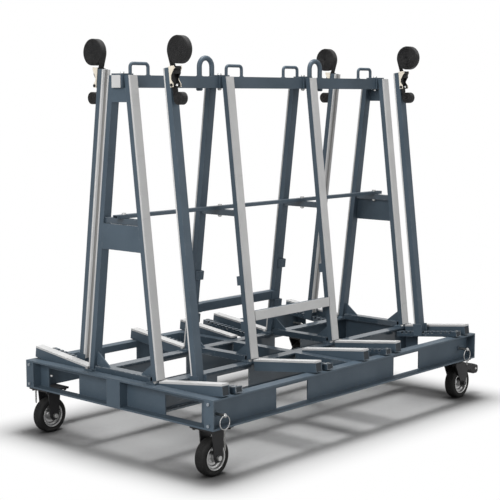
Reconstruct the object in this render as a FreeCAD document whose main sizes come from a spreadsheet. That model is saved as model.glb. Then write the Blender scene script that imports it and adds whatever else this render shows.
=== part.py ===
"""Slab A-frame cart: wheeled base, four A-frames under a ridge, slab arms, sliding posts, strap ratchets.

Millimetres, +Z up, floor at z = 0, X along the ridge, front towards -Y.
The slanted pieces share one tilted frame on each side: its origin lies on the inner top edge of the
long channel, v runs inward along the arms and w runs up along the legs.
"""
import FreeCAD
import Part
import Sketcher
import math
import os
import re

DIMENSIONS = {
    # base
    "base_length": 1830, "base_width": 1120, "base_height": 120, "ground_height": 197,
    "flange_width": 48, "flange_thick": 7, "web_thick": 6, "corner_plate": 6,
    "fork_width": 200, "fork_height": 83, "fork_pitch_long": 806, "fork_inset_end": 201,
    "stiffener_width": 80, "tube_wall": 3, "deck_bar": 50, "cross_bar": 40, "cross_depth": 50,
    # frames
    "frame_inset": 72, "lean": 6.8, "ridge_top": 1535, "ridge_size": 50, "ridge_inset": 40,
    "leg_width": 40, "leg_depth": 25, "facing_thick": 8, "facing_width": 50,
    "saddle_plate": 6, "saddle_length": 60, "saddle_gap": 0.3, "weld_gap": 0.2,
    "foot_plate": 6, "foot_plate_width": 84, "foot_bar_rise": 22, "foot_bar_drop": 4,
    "gusset_reach": 70, "gusset_rise": 57, "plate_thick": 5,
    "tie_height": 964, "mid_bar": 25, "tie_width": 30, "tie_rise": 15, "tie_inset": 25,
    "sign_height": 105, "top_plate_height": 57,
    # ridge fittings
    "hoop_width": 112, "hoop_height": 54, "hoop_bar": 14, "hoop_offset": 91, "hoop_bend": 15,
    "eye_width": 98, "eye_height": 88, "eye_bar": 22, "eye_offset": 86, "eye_bend": 37,
    "eye_nut_radius": 14, "eye_nut_rise": 8, "eye_tail": 11, "cap_thick": 4, "cap_plug": 15,
    # arms and tracks
    "arm_width": 40, "arm_height": 40, "arm_shift": 45, "arm_end_gap": 6,
    "track_width": 38, "track_height": 25, "track_shift": 74,
    "notch_pitch": 25, "notch_length": 11, "notch_depth": 9, "notch_start": 6,
    "stop_size": 8, "stop_inset": 5, "stop_rise": 3,
    # posts and ratchets
    "post_width": 40, "post_depth": 25, "post_top": 1274, "post_place": 180, "post_lift": 0.3,
    "shoe_plate": 4, "shoe_height": 58, "shoe_length": 48,
    "strap_width": 30, "strap_thick": 2.4, "strap_pitch": 3.2, "strap_gap": 0.2,
    "coil_radius": 54.8, "coil_rise": 62, "coil_out": 48, "coil_core": 7,
    "roll_radius": 24.8, "roll_drop": 124, "roll_out": 31, "roll_core": 6,
    "ratchet_drop": 19, "ratchet_out": 17, "ratchet_height": 77, "cheek_top": 25,
    "cheek_shoulder": 14, "cheek_waist": 8, "cheek_low": 17,
    "ratchet_plate": 2.5, "ratchet_inner": 34, "spool_radius": 7, "anchor_radius": 4, "anchor_drop": 52,
    "handle_gap": 0.8, "handle_length": 74, "handle_tail": 8, "handle_top": 30, "handle_waist": 8,
    "handle_foot": 18, "grip_radius": 5, "run_gap": 0.05,
    # rails
    "rail_height": 40, "rail_place": 211, "rail_gap": 0.5, "tongue_thick": 5, "tongue_width": 20,
    "tongue_drop": 33, "socket_depth": 20, "socket_width": 34, "socket_height": 40, "socket_pitch": 197,
    # casters
    "caster_headroom": 47, "wheel_width": 50, "rim_share": 0.7, "hub_width": 57, "hub_share": 0.23,
    "shoulder": 11, "step_share": 0.08, "disc_half": 5,
    "axle_radius": 6, "axle_end": 10, "caster_plate": 120, "caster_plate_thick": 8, "caster_inset_y": 72,
    "rigid_inset": 66, "swivel_inset": 74, "trail": 34, "fork_gap": 62, "fork_plate": 5, "fork_top": 8,
    "fork_foot": 18, "fork_toe": 13, "fork_waist": 22, "crown_back": 30, "crown_front": 40,
    "pedal_out": 30, "pedal_drop": 22.2, "swivel_gap": 0.8,
    "kingpin_radius": 7, "race_radius": 34, "race_height": 11, "pedal_width": 50, "pedal_pin": 4,
    # locking pins
    "pin_radius": 6, "pin_inset_left": 56, "pin_inset_right": 80, "pin_height": 54,
    "pin_reach": 70, "pin_head": 9, "pin_stand": 7,
    "ring_radius": 27, "ring_wire": 2, "link_wire": 1.5, "link_length": 15, "link_width": 9, "link_play": 0.3,
    # fasteners
    "bolt_radius": 5, "bolt_head": 9, "bolt_head_rise": 6.5, "foot_bolt_gap": 2, "corner_bolt": 7,
}

doc = FreeCAD.newDocument("slab_cart")
sheet = doc.addObject("Spreadsheet::Sheet", "Dims")
for row, (alias, number) in enumerate(DIMENSIONS.items(), start=1):
    sheet.set(f"A{row}", alias)
    sheet.set(f"B{row}", str(number))
    sheet.setAlias(f"B{row}", alias)
doc.recompute()

WORDS = re.compile(r"\b(" + "|".join(sorted(DIMENSIONS, key=len, reverse=True)) + r")\b")
SIDES = {"front": 1, "rear": -1}
ENDS = {"left": -1, "right": 1}
X_AXIS = FreeCAD.Vector(1, 0, 0)
Y_AXIS = FreeCAD.Vector(0, 1, 0)
Z_AXIS = FreeCAD.Vector(0, 0, 1)
NODES = []


def size(alias):
    """Plain number held by one cell of the sheet."""
    return float(sheet.get(alias))


def bind(item, prop, text):
    """Tie one property to the sheet by an expression in alias words."""
    item.setExpression(prop, WORDS.sub(r"Dims.\1", str(text)))


def place(item, x, y, z, axis=None, angle=None):
    """Tie an item's position, and its turn about one axis, to the sheet."""
    if axis is not None:
        item.Placement = FreeCAD.Placement(FreeCAD.Vector(), FreeCAD.Rotation(axis, 1))
        bind(item, "Placement.Rotation.Angle", angle)
    bind(item, "Placement.Base.x", x)
    bind(item, "Placement.Base.y", y)
    bind(item, "Placement.Base.z", z)
    return item


def box(name, x, y, z):
    """Upright block; x, y and z are pairs of expressions for its two faces."""
    item = doc.addObject("Part::Box", name)
    bind(item, "Length", f"({x[1]}) - ({x[0]})")
    bind(item, "Width", f"({y[1]}) - ({y[0]})")
    bind(item, "Height", f"({z[1]}) - ({z[0]})")
    return place(item, x[0], y[0], z[0])


def cylinder(name, radius, height, x, y, z, axis=None, angle=None):
    """Round bar that starts at a point and runs along +Z unless turned."""
    item = doc.addObject("Part::Cylinder", name)
    bind(item, "Radius", radius)
    bind(item, "Height", height)
    return place(item, x, y, z, axis, angle)


def cut(name, base, tools):
    """Base piece with the tools taken out of it."""
    tool = tools[0]
    if len(tools) > 1:
        tool = compound(name + "_tools", tools)
    item = doc.addObject("Part::Cut", name)
    item.Base = base
    item.Tool = tool
    return item


def fuse(name, pieces):
    """One welded piece."""
    item = doc.addObject("Part::MultiFuse", name)
    item.Shapes = pieces
    item.Refine = True
    return item


def compound(name, pieces):
    """Group of separate solids."""
    item = doc.addObject("Part::Compound", name)
    item.Links = pieces
    return item


def node(item, label):
    """Register an object as a named piece of the assembly."""
    item.Label = label
    NODES.append(item)
    return item


def group(label, pieces):
    """Register several solids as one named piece of the assembly."""
    return node(compound(label + "_group", pieces), label)


def tube(name, x, y, z, along):
    """Square tube, open at both ends, along x, y or z."""
    wall = "tube_wall"
    inner = [(f"({a}) + {wall}", f"({b}) - {wall}") for a, b in (x, y, z)]
    index = "xyz".index(along)
    inner[index] = (f"({(x, y, z)[index][0]}) - 1", f"({(x, y, z)[index][1]}) + 1")
    return cut(name, box(name + "_outer", x, y, z), [box(name + "_bore", *inner)])


def outline_body(name, plane, points):
    """New body with a closed outline whose corners are tied to the sheet."""
    body = doc.addObject("PartDesign::Body", name)
    sketch = doc.addObject("Sketcher::SketchObject", name + "_outline")
    body.addObject(sketch)
    sketch.AttachmentSupport = [(next(f for f in body.Origin.OriginFeatures if f.Role == plane), "")]
    sketch.MapMode = "FlatFace"
    values = [(number(a), number(b)) for a, b in points]
    count = len(points)
    for index, (a, b) in enumerate(values):
        c, d = values[(index + 1) % count]
        sketch.addGeometry(Part.LineSegment(FreeCAD.Vector(a, b, 0), FreeCAD.Vector(c, d, 0)), False)
    for index in range(count):
        sketch.addConstraint(Sketcher.Constraint("Coincident", index, 2, (index + 1) % count, 1))
    for index, (a, b) in enumerate(points):
        for kind, text, value in (("DistanceX", a, values[index][0]), ("DistanceY", b, values[index][1])):
            place_at = sketch.addConstraint(Sketcher.Constraint(kind, -1, 1, index, 1, value))
            bind(sketch, f"Constraints[{place_at}]", text)
    return body, sketch


def polygon_body(name, plane, points, length):
    """Body padded both ways from one closed outline."""
    body, sketch = outline_body(name, plane, points)
    pad = doc.addObject("PartDesign::Pad", name + "_pad")
    body.addObject(pad)
    pad.Profile = sketch
    pad.Midplane = True
    bind(pad, "Length", length)
    body.Tip = pad
    return body


def number(text):
    """Value of an expression in alias words, worked out with the sheet's numbers."""
    value = sheet.evalExpression(str(text))
    return float(getattr(value, "Value", value))


def solid_feature(name, shape, placement=None):
    """Piece with a bent or wound form that no primitive gives."""
    item = doc.addObject("Part::Feature", name)
    item.Shape = shape
    if placement is not None:
        item.Placement = placement
    return item


# Shared levels and lines, as expressions
DECK = "(ground_height + base_height)"
SEAT_Y = "(base_width / 2 - flange_width)"
LEG_TOP_Y = "(ridge_size / 2 + saddle_gap + saddle_plate + weld_gap)"
FOOT_Z = f"({DECK} + foot_plate)"
LEG_IN_V = f"(({SEAT_Y} - {LEG_TOP_Y}) * cos(lean) - (ridge_top - {DECK}) * sin(lean))"
ARM_OUT_V = "(-flange_width / cos(lean))"


def leg_inner_y(z):
    """Distance of the legs' inner faces from the centre plane at one height."""
    return f"({LEG_TOP_Y} + (ridge_top - ({z})) * tan(lean))"


BAR_Y = f"({leg_inner_y(FOOT_Z)} + leg_depth / 2 / cos(lean))"
ARM_IN_V = f"(({SEAT_Y} - {BAR_Y} - deck_bar / 2 - arm_end_gap) / cos(lean))"
END_FRAME_X = "(base_length / 2 - frame_inset)"
MID_FRAME_X = f"({END_FRAME_X} / 3)"
FRAME_X = [f"-{END_FRAME_X}", f"-{MID_FRAME_X}", MID_FRAME_X, END_FRAME_X]
RIDGE_HALF = "(base_length / 2 - ridge_inset)"
TIE_HALF = "(base_length / 2 - tie_inset)"
PIN_X = {"left": "-(base_length / 2 - pin_inset_left)", "right": "(base_length / 2 - pin_inset_right)"}


def tilted_box(name, side, x, v, w):
    """Block in the tilted frame of one side."""
    item = doc.addObject("Part::Box", name)
    bind(item, "Length", f"({x[1]}) - ({x[0]})")
    bind(item, "Width", f"({v[1]}) - ({v[0]})")
    bind(item, "Height", f"({w[1]}) - ({w[0]})")
    near = v[0] if side > 0 else v[1]
    y = f"{-side} * ({SEAT_Y} - ({near}) * cos(lean) - ({w[0]}) * sin(lean))"
    z = f"{DECK} - ({near}) * sin(lean) + ({w[0]}) * cos(lean)"
    return place(item, x[0], y, z, X_AXIS, f"{-side} * lean")


def tilted_tube(name, side, x, v, w, along):
    """Square tube in the tilted frame, open at both ends, along v or w."""
    wall = "tube_wall"
    inner = [(f"({a}) + {wall}", f"({b}) - {wall}") for a, b in (x, v, w)]
    index = "xvw".index(along)
    inner[index] = (f"({(x, v, w)[index][0]}) - 1", f"({(x, v, w)[index][1]}) + 1")
    outer = tilted_box(name + "_outer", side, x, v, w)
    return cut(name, outer, [tilted_box(name + "_bore", side, *inner)])


def tilted_rod(name, side, radius, x, v, w):
    """Round bar along X in the tilted frame; v and w give its axis."""
    y = f"{-side} * ({SEAT_Y} - ({v}) * cos(lean) - ({w}) * sin(lean))"
    z = f"{DECK} - ({v}) * sin(lean) + ({w}) * cos(lean)"
    return cylinder(name, radius, f"({x[1]}) - ({x[0]})", x[0], y, z, Y_AXIS, "90")


def tilted_placement(side, x):
    """Placement of the tilted frame of one side at one X."""
    turn = FreeCAD.Rotation(X_AXIS, -side * size("lean"))
    return FreeCAD.Placement(FreeCAD.Vector(x, -side * number(SEAT_Y), number(DECK)), turn)


def spread(center, width):
    """Pair of expressions for a piece of one width about a centre."""
    return (f"({center}) - ({width}) / 2", f"({center}) + ({width}) / 2")


def level_trim(name, piece, low, high):
    """Piece with both ends sawn level."""
    slab = box(name + "_slab", ("-base_length", "base_length"), ("-base_width", "base_width"), (low, high))
    item = doc.addObject("Part::Common", name)
    item.Base = piece
    item.Tool = slab
    return item


def channel(name, length, fork_x, flip=0):
    """Rolled channel along X, open towards -Y, with fork openings; flip gives the pin holes' hand, 0 none."""
    outline = [
        ("0", "0"), ("flange_width", "0"), ("flange_width", "base_height"), ("0", "base_height"),
        ("0", "base_height - flange_thick"), ("flange_width - web_thick", "base_height - flange_thick"),
        ("flange_width - web_thick", "flange_thick"), ("0", "flange_thick"),
    ]
    body = polygon_body(name + "_section", "YZ_Plane", outline, length)
    web = ("flange_width - web_thick - 1", "flange_width + 1")
    tools = []
    for end, sign in ENDS.items():
        across = spread(f"{sign} * {fork_x}", "fork_width")
        tools.append(box(f"{name}_fork_{end}", across, web, ("flange_thick", "flange_thick + fork_height")))
        if flip:
            tools.append(cylinder(f"{name}_pin_{end}", "pin_radius + run_gap", "flange_width",
                                  f"{flip} * {PIN_X[end]}", "flange_width + web_thick", "pin_height",
                                  X_AXIS, "90"))
    return cut(name, body, tools)


def deck_beam(name):
    """Rolled I-beam along X between the end channels, with fork openings in line with the side channels'."""
    rim, web = "deck_bar / 2", "web_thick / 2"
    under, over = "flange_thick", "base_height - flange_thick"
    right = [(rim, "0"), (rim, under), (web, under), (web, over), (rim, over), (rim, "base_height")]
    outline = right + [(f"-{y}", z) for y, z in reversed(right)]
    body = polygon_body(name + "_section", "YZ_Plane", outline, "base_length - 2 * flange_width")
    tools = []
    for end, sign in ENDS.items():
        across = spread(f"{sign} * fork_pitch_long / 2", "fork_width")
        tools.append(box(f"{name}_fork_{end}", across, spread("0", "web_thick + 2"),
                         (under, f"{under} + fork_height")))
    return cut(name, body, tools)


def build_base():
    """Channels, corner plates, end stiffeners, deck beams and cross bars."""
    for side, sign in SIDES.items():
        rail = channel(side + "_section", "base_length - 2 * corner_plate", "fork_pitch_long / 2", sign)
        place(rail, "0", f"{-sign} * base_width / 2", "ground_height", Z_AXIS, "0" if sign > 0 else "180")
        pieces = [rail]
        for end, way in ENDS.items():
            x = sorted_pair(f"{way} * (base_length / 2 - corner_plate)", f"{way} * base_length / 2", way)
            y = sorted_pair(f"{-sign} * {SEAT_Y}", f"{-sign} * base_width / 2", -sign)
            pieces.append(box(f"corner_{side}_{end}", x, y, ("ground_height", DECK)))
        group(side + "_channel", pieces)
    pieces = []
    for end, way in ENDS.items():
        rail = channel(end + "_end", f"2 * {SEAT_Y}", "(base_width / 2 - fork_inset_end)")
        place(rail, f"{way} * base_length / 2", "0", "ground_height", Z_AXIS, f"{way} * 90")
        pieces.append(rail)
        x = sorted_pair(f"{way} * (base_length / 2 - flange_width + web_thick)",
                        f"{way} * base_length / 2", way)
        z = ("ground_height + flange_thick", f"{DECK} - flange_thick")
        pieces.append(tube("stiffener_" + end, x, spread("0", "stiffener_width"), z, "z"))
    group("end_channels", pieces)
    bars = []
    for side, sign in SIDES.items():
        bars.append(deck_beam("deck_bar_" + side))
        place(bars[-1], "0", f"{-sign} * {BAR_Y}", "ground_height")
    group("deck_bars", bars)
    pieces = []
    low = f"{DECK} - cross_depth"
    inside = f"({BAR_Y} - deck_bar / 2)"
    outside = f"({BAR_Y} + deck_bar / 2)"
    for part_name, y in (("middle", (f"-{inside}", inside)), ("front", (f"-{SEAT_Y}", f"-{outside}")),
                         ("rear", (outside, SEAT_Y))):
        pieces.append(tube("cross_" + part_name, spread("0", "cross_bar"), y, (low, DECK), "y"))
    top = f"{DECK} + foot_bar_rise"
    half_mid = f"({leg_inner_y('tie_height')} - weld_gap)"
    for index, x in enumerate(FRAME_X):
        pieces.append(tube(f"foot_bar_{index}", spread(x, "cross_bar"), (f"-{inside}", inside),
                           (f"{DECK} - foot_bar_drop", top), "y"))
        bar = tube(f"mid_bar_{index}", spread(x, "mid_bar"), (f"-{half_mid}", half_mid),
                   ("tie_height - mid_bar", "tie_height"), "y")
        hole = cylinder(f"mid_hole_{index}", "bolt_radius + run_gap", "mid_bar + 2", x, "0",
                        "tie_height - mid_bar - 1")
        pieces.append(cut(f"mid_bar_bored_{index}", bar, [hole]))
    group("cross_bars", pieces)


def sorted_pair(first, second, way):
    """Pair of expressions in rising order along a direction."""
    return (first, second) if way > 0 else (second, first)


def build_frames():
    """Legs, rubber facings, plates and rail sockets of the four A-frames."""
    legs, facings, plates, sockets = [], [], [], []
    reach = f"(ridge_top - {DECK}) / cos(lean) + 3 * leg_depth"
    face = f"{LEG_IN_V} - leg_depth"
    for side, sign in SIDES.items():
        for index, x in enumerate(FRAME_X):
            tag = f"{side}_{index}"
            leg = tilted_tube("leg_tube_" + tag, sign, spread(x, "leg_width"), (face, LEG_IN_V),
                              ("0", reach), "w")
            legs.append(level_trim("leg_" + tag, leg, FOOT_Z, "ridge_top"))
            strip = tilted_box("facing_strip_" + tag, sign, spread(x, "facing_width"),
                               (f"{face} - facing_thick", face), ("0", reach))
            facings.append(level_trim("facing_" + tag, strip, f"{FOOT_Z} + facing_thick", "ridge_top"))
            plates.append(box("foot_plate_" + tag, spread(x, "foot_plate_width"),
                              spread(f"{-sign} * {BAR_Y}", "deck_bar"), (DECK, FOOT_Z)))
            bar_top = f"({DECK} + foot_bar_rise)"
            low_y = leg_inner_y(bar_top)
            high_y = leg_inner_y(f"{bar_top} + gusset_rise")
            corners = [(f"{-sign} * ({BAR_Y} - deck_bar / 2 - gusset_reach)", bar_top),
                       (f"{-sign} * ({low_y} - weld_gap)", bar_top),
                       (f"{-sign} * ({high_y} - weld_gap)", f"{bar_top} + gusset_rise")]
            gusset = polygon_body("gusset_" + tag, "YZ_Plane", corners, "plate_thick")
            plates.append(place(gusset, x, "0", "0"))
            if index in (1, 2):
                for level in (0, 1):
                    sockets.append(rail_socket(f"{tag}_{level}", sign, x, level))
    outer = f"({END_FRAME_X} + leg_width / 2 - plate_thick / 2)"
    top = "(ridge_top - ridge_size - weld_gap)"
    mid = "(tie_height - mid_bar)"
    for end, way in ENDS.items():
        for kind, high, tall in (("top", top, "top_plate_height"), ("sign", mid, "sign_height")):
            low = f"({high} - {tall})"
            wide = f"({leg_inner_y(low)} - weld_gap)"
            slim = f"({leg_inner_y(high)} - weld_gap)"
            corners = [(f"-{wide}", low), (wide, low), (slim, high), (f"-{slim}", high)]
            plate = polygon_body(f"{kind}_plate_{end}", "YZ_Plane", corners, "plate_thick")
            plates.append(place(plate, f"{way} * {outer}", "0", "0"))
    group("frame_legs", legs)
    group("leg_facings", facings)
    group("frame_plates", plates)
    group("rail_sockets", sockets)


def rail_socket(tag, sign, x, level):
    """Open-topped socket on the inner face of a leg."""
    top = f"(rail_place + {level} * socket_pitch)"
    w = (f"{top} - socket_height", top)
    block = tilted_box("socket_block_" + tag, sign, spread(x, "socket_width"),
                       (LEG_IN_V, f"{LEG_IN_V} + socket_depth"), w)
    slot = tilted_box("socket_slot_" + tag, sign, spread(x, "tongue_width + 2 * rail_gap"),
                      (f"{LEG_IN_V} - 1", f"{LEG_IN_V} + tongue_thick + 2 * rail_gap + saddle_gap"),
                      (f"{w[0]} - 1", f"{w[1]} + 1"))
    return cut("socket_" + tag, block, [slot])


def bent_bar(points, radius, bend):
    """Round bar along straight runs joined by tangent bends, as one solid."""
    edges = []
    start = points[0]
    for here, corner, after in zip(points, points[1:], points[2:]):
        back = (here - corner).normalize()
        ahead = (after - corner).normalize()
        half = back.getAngle(ahead) / 2
        step = bend / math.tan(half)
        first = corner + back * step
        last = corner + ahead * step
        middle = corner + (back + ahead).normalize() * (bend / math.sin(half) - bend)
        edges.append(Part.makeLine(start, first))
        edges.append(Part.Arc(first, middle, last).toShape())
        start = last
    edges.append(Part.makeLine(start, points[-1]))
    path = Part.Wire(edges)
    ring = Part.Wire([Part.makeCircle(radius, points[0], (points[1] - points[0]).normalize())])
    return path.makePipeShell([ring], True, True)


def build_ridge():
    """Ridge tube, end caps, saddles, carrying hoops, lifting eyes and tie bar."""
    half = RIDGE_HALF
    low = "(ridge_top - ridge_size)"
    beam = tube("ridge_tube", (f"-{half}", half), spread("0", "ridge_size"), (low, "ridge_top"), "x")
    holes = []
    for index, x in enumerate(FRAME_X):
        holes.append(cylinder(f"ridge_bolt_hole_{index}", "bolt_radius + run_gap", "ridge_size + 2", x, "0",
                              f"{low} - 1"))
    eye_half = "(eye_width - eye_bar) / 2"
    for end, way in ENDS.items():
        for leg in (-1, 1):
            x = f"{way} * ({MID_FRAME_X} + eye_offset) + {leg} * {eye_half}"
            holes.append(cylinder(f"eye_hole_{end}_{leg + 1}", "eye_bar / 2 + saddle_gap", "ridge_size + 2",
                                  x, "0", f"{low} - 1"))
    node(cut("ridge_bored", beam, holes), "ridge_beam")
    caps, saddles, hoops, eyes = [], [], [], []
    for end, way in ENDS.items():
        x = sorted_pair(f"{way} * {half}", f"{way} * ({half} + cap_thick)", way)
        face = box("cap_face_" + end, x, spread("0", "ridge_size"), (low, "ridge_top"))
        inset = "(tube_wall + saddle_gap)"
        x = sorted_pair(f"{way} * ({half} - cap_plug)", f"{way} * ({half} + cap_thick / 2)", way)
        plug = box("cap_plug_" + end, x, spread("0", f"ridge_size - 2 * {inset}"),
                   (f"{low} + {inset}", f"ridge_top - {inset}"))
        caps.append(fuse("cap_" + end, [face, plug]))
    for index, x in enumerate(FRAME_X):
        wide = "ridge_size + 2 * saddle_gap + 2 * saddle_plate"
        block = box(f"saddle_block_{index}", spread(x, "saddle_length"), spread("0", wide),
                    (low, "ridge_top + saddle_gap + saddle_plate"))
        room = box(f"saddle_room_{index}", spread(x, "saddle_length + 2"),
                   spread("0", "ridge_size + 2 * saddle_gap"), (f"{low} - 1", "ridge_top + saddle_gap"))
        hole = cylinder(f"saddle_hole_{index}", "bolt_radius + run_gap", "4 * saddle_plate", x, "0",
                        "ridge_top - saddle_plate")
        saddles.append(cut(f"saddle_{index}", block, [room, hole]))
    top = size("ridge_top")
    reach = (size("hoop_width") - size("hoop_bar")) / 2
    for index, x in enumerate(FRAME_X):
        inward = -1 if index > 1 else 1
        middle = number(x) + inward * size("hoop_offset")
        high = top + size("hoop_height") - size("hoop_bar") / 2
        points = [FreeCAD.Vector(middle - reach, 0, top), FreeCAD.Vector(middle - reach, 0, high),
                  FreeCAD.Vector(middle + reach, 0, high), FreeCAD.Vector(middle + reach, 0, top)]
        hoop = bent_bar(points, size("hoop_bar") / 2, size("hoop_bend"))
        hoops.append(solid_feature(f"hoop_{index}", hoop))
    reach = (size("eye_width") - size("eye_bar")) / 2
    tail = top - size("ridge_size") - size("eye_tail")
    for end, way in ENDS.items():
        middle = way * number(f"{MID_FRAME_X} + eye_offset")
        high = top + size("eye_height") - size("eye_bar") / 2
        points = [FreeCAD.Vector(middle - reach, 0, tail), FreeCAD.Vector(middle - reach, 0, high),
                  FreeCAD.Vector(middle + reach, 0, high), FreeCAD.Vector(middle + reach, 0, tail)]
        eyes.append(solid_feature("eye_" + end, bent_bar(points, size("eye_bar") / 2, size("eye_bend"))))
        for leg in (-1, 1):
            x = f"{way} * ({MID_FRAME_X} + eye_offset) + {leg} * {eye_half}"
            nut = cylinder(f"eye_nut_{end}_{leg + 1}", "eye_nut_radius", "eye_nut_rise", x, "0",
                           f"{low} - eye_nut_rise")
            bore = cylinder(f"eye_nut_bore_{end}_{leg + 1}", "eye_bar / 2 + run_gap", "2 * eye_nut_rise",
                            x, "0", f"{low} - 1.5 * eye_nut_rise")
            eyes.append(cut(f"eye_nut_bored_{end}_{leg + 1}", nut, [bore]))
    group("ridge_caps", caps)
    group("ridge_saddles", saddles)
    group("ridge_handles", hoops)
    group("lifting_eyes", eyes)
    tie = tube("tie_tube", (f"-{TIE_HALF}", TIE_HALF), spread("0", "tie_width"),
               ("tie_height", "tie_height + tie_rise"), "x")
    holes = []
    for index, x in enumerate(FRAME_X):
        holes.append(cylinder(f"tie_hole_{index}", "bolt_radius + run_gap", "2 * tie_rise", x, "0",
                              "tie_height - tie_rise / 2"))
    node(cut("tie_bored", tie, holes), "tie_bar")


def build_arms():
    """Slab arms with rubber tops, and the notched post tracks beside them."""
    arms, facings, tracks = [], [], []
    v = (ARM_OUT_V, ARM_IN_V)
    count = int((number(ARM_IN_V) - number(ARM_OUT_V)) // size("notch_pitch")) - 1
    for side, sign in SIDES.items():
        for index, x in enumerate(FRAME_X + ["arm_shift"]):
            tag = f"{side}_{index}"
            across = spread(x, "arm_width")
            arms.append(tilted_tube("arm_" + tag, sign, across, v, ("0", "arm_height"), "v"))
            facings.append(tilted_box("arm_facing_" + tag, sign, across, v,
                                      ("arm_height", "arm_height + facing_thick")))
        for index, x in enumerate(FRAME_X):
            inward = "+" if index < 2 else "-"
            middle = f"{x} {inward} track_shift"
            name = f"track_{side}_{index}"
            bar = tilted_tube(name + "_bar", sign, spread(middle, "track_width"), v,
                              ("0", "track_height"), "v")
            notches = []
            for step in range(count):
                start = f"({ARM_OUT_V} + notch_start + {step + 1} * notch_pitch)"
                notches.append(tilted_box(f"{name}_notch_{step}", sign, spread(middle, "track_width + 2"),
                                          (start, f"{start} + notch_length"),
                                          ("track_height - notch_depth", "track_height + 1")))
            tracks.append(cut(name, bar, notches))
    group("slab_arms", arms)
    group("arm_facings", facings)
    group("post_tracks", tracks)


def ribbon_path(center, radius, core, pitch, bar, bar_radius, wrap):
    """Segments of a flat strap: a spiral roll, a straight run and a wrap about a bar, in the v-w plane.

    Each segment is (kind, data); arcs hold centre, radius, start angle and swept angle.
    """
    delta = bar - center
    upward = 1 if delta.y > 0 else -1
    along = math.atan2(delta.y, delta.x)
    lean = math.acos((radius - bar_radius) / delta.Length)
    angle = along - upward * lean
    normal = FreeCAD.Vector(math.cos(angle), math.sin(angle), 0)
    arcs = []
    here, reach, facing = FreeCAD.Vector(center), radius, 1
    while reach > core:
        stop = angle if facing > 0 else angle + math.pi
        arcs.append(("arc", (FreeCAD.Vector(here), reach, stop - upward * math.pi, upward * math.pi)))
        here = here - normal * (facing * pitch / 2)
        reach = reach - pitch / 2
        facing = -facing
    segments = list(reversed(arcs))
    segments.append(("line", (center + normal * radius, bar + normal * bar_radius)))
    segments.append(("arc", (FreeCAD.Vector(bar), bar_radius, angle, upward * wrap)))
    return segments


def ribbon_points(segments, step=2.0):
    """Points along a strap's middle line with their distance from its start."""
    points = []
    run = 0.0
    for kind, data in segments:
        if kind == "line":
            start, stop = data
            length = (stop - start).Length
            count = max(2, int(length / step))
            for index in range(count):
                points.append((run + length * index / count, start + (stop - start) * (index / count)))
        else:
            middle, radius, begin, swept = data
            length = radius * abs(swept)
            count = max(2, int(length / step))
            for index in range(count):
                turn = begin + swept * index / count
                spot = middle + FreeCAD.Vector(math.cos(turn), math.sin(turn), 0) * radius
                points.append((run + length * index / count, spot))
        run += length
    return points, run


def ribbon_edges(segments, offset):
    """Edges of one side of a strap, offset to the left of its run."""
    edges = []
    for kind, data in segments:
        if kind == "line":
            start, stop = data
            way = (stop - start).normalize()
            shift = FreeCAD.Vector(-way.y, way.x, 0) * offset
            edges.append(Part.makeLine(start + shift, stop + shift))
        else:
            middle, radius, begin, swept = data
            reach = radius - math.copysign(offset, offset * swept)
            spots = []
            for part_way in (0.0, 0.5, 1.0):
                turn = begin + swept * part_way
                spots.append(middle + FreeCAD.Vector(math.cos(turn), math.sin(turn), 0) * reach)
            edges.append(Part.Arc(*spots).toShape())
    return edges


def strap_solid(segments, flip):
    """Strap extruded across its width, in the frame of one post."""
    thick = size("strap_thick")
    left = ribbon_edges(segments, thick / 2)
    right = ribbon_edges(segments, -thick / 2)
    ends = [Part.makeLine(left[0].Vertexes[0].Point, right[0].Vertexes[0].Point),
            Part.makeLine(left[-1].Vertexes[-1].Point, right[-1].Vertexes[-1].Point)]
    wire = Part.Wire(Part.__sortEdges__(left + right + ends))
    solid = Part.Face(wire).extrude(FreeCAD.Vector(0, 0, size("strap_width")))
    across = FreeCAD.Matrix(0, 0, 1, -size("strap_width") / 2, flip, 0, 0, 0, 0, 1, 0, 0, 0, 0, 0, 1)
    return solid.transformGeometry(across)


def least_gap(segments):
    """Smallest clear distance between neighbouring turns of a strap."""
    points, length = ribbon_points(segments)
    least = length
    for index, (run, spot) in enumerate(points):
        for other_run, other in points[index + 1:]:
            if other_run - run > 12.0:
                least = min(least, (other - spot).Length)
    return least - size("strap_thick"), length


POST_X = f"({END_FRAME_X} - track_shift)"
POST_OUT_V = "(post_place - post_depth)"
POST_LOW_W = "(track_height + post_lift)"
SPOOL_V = f"({POST_OUT_V} - ratchet_out)"
SPOOL_W = "(post_top - ratchet_drop)"
ANCHOR_V = f"({POST_OUT_V} - 2 * anchor_radius - strap_thick)"
ANCHOR_W = f"({SPOOL_W} - anchor_drop)"


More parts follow.
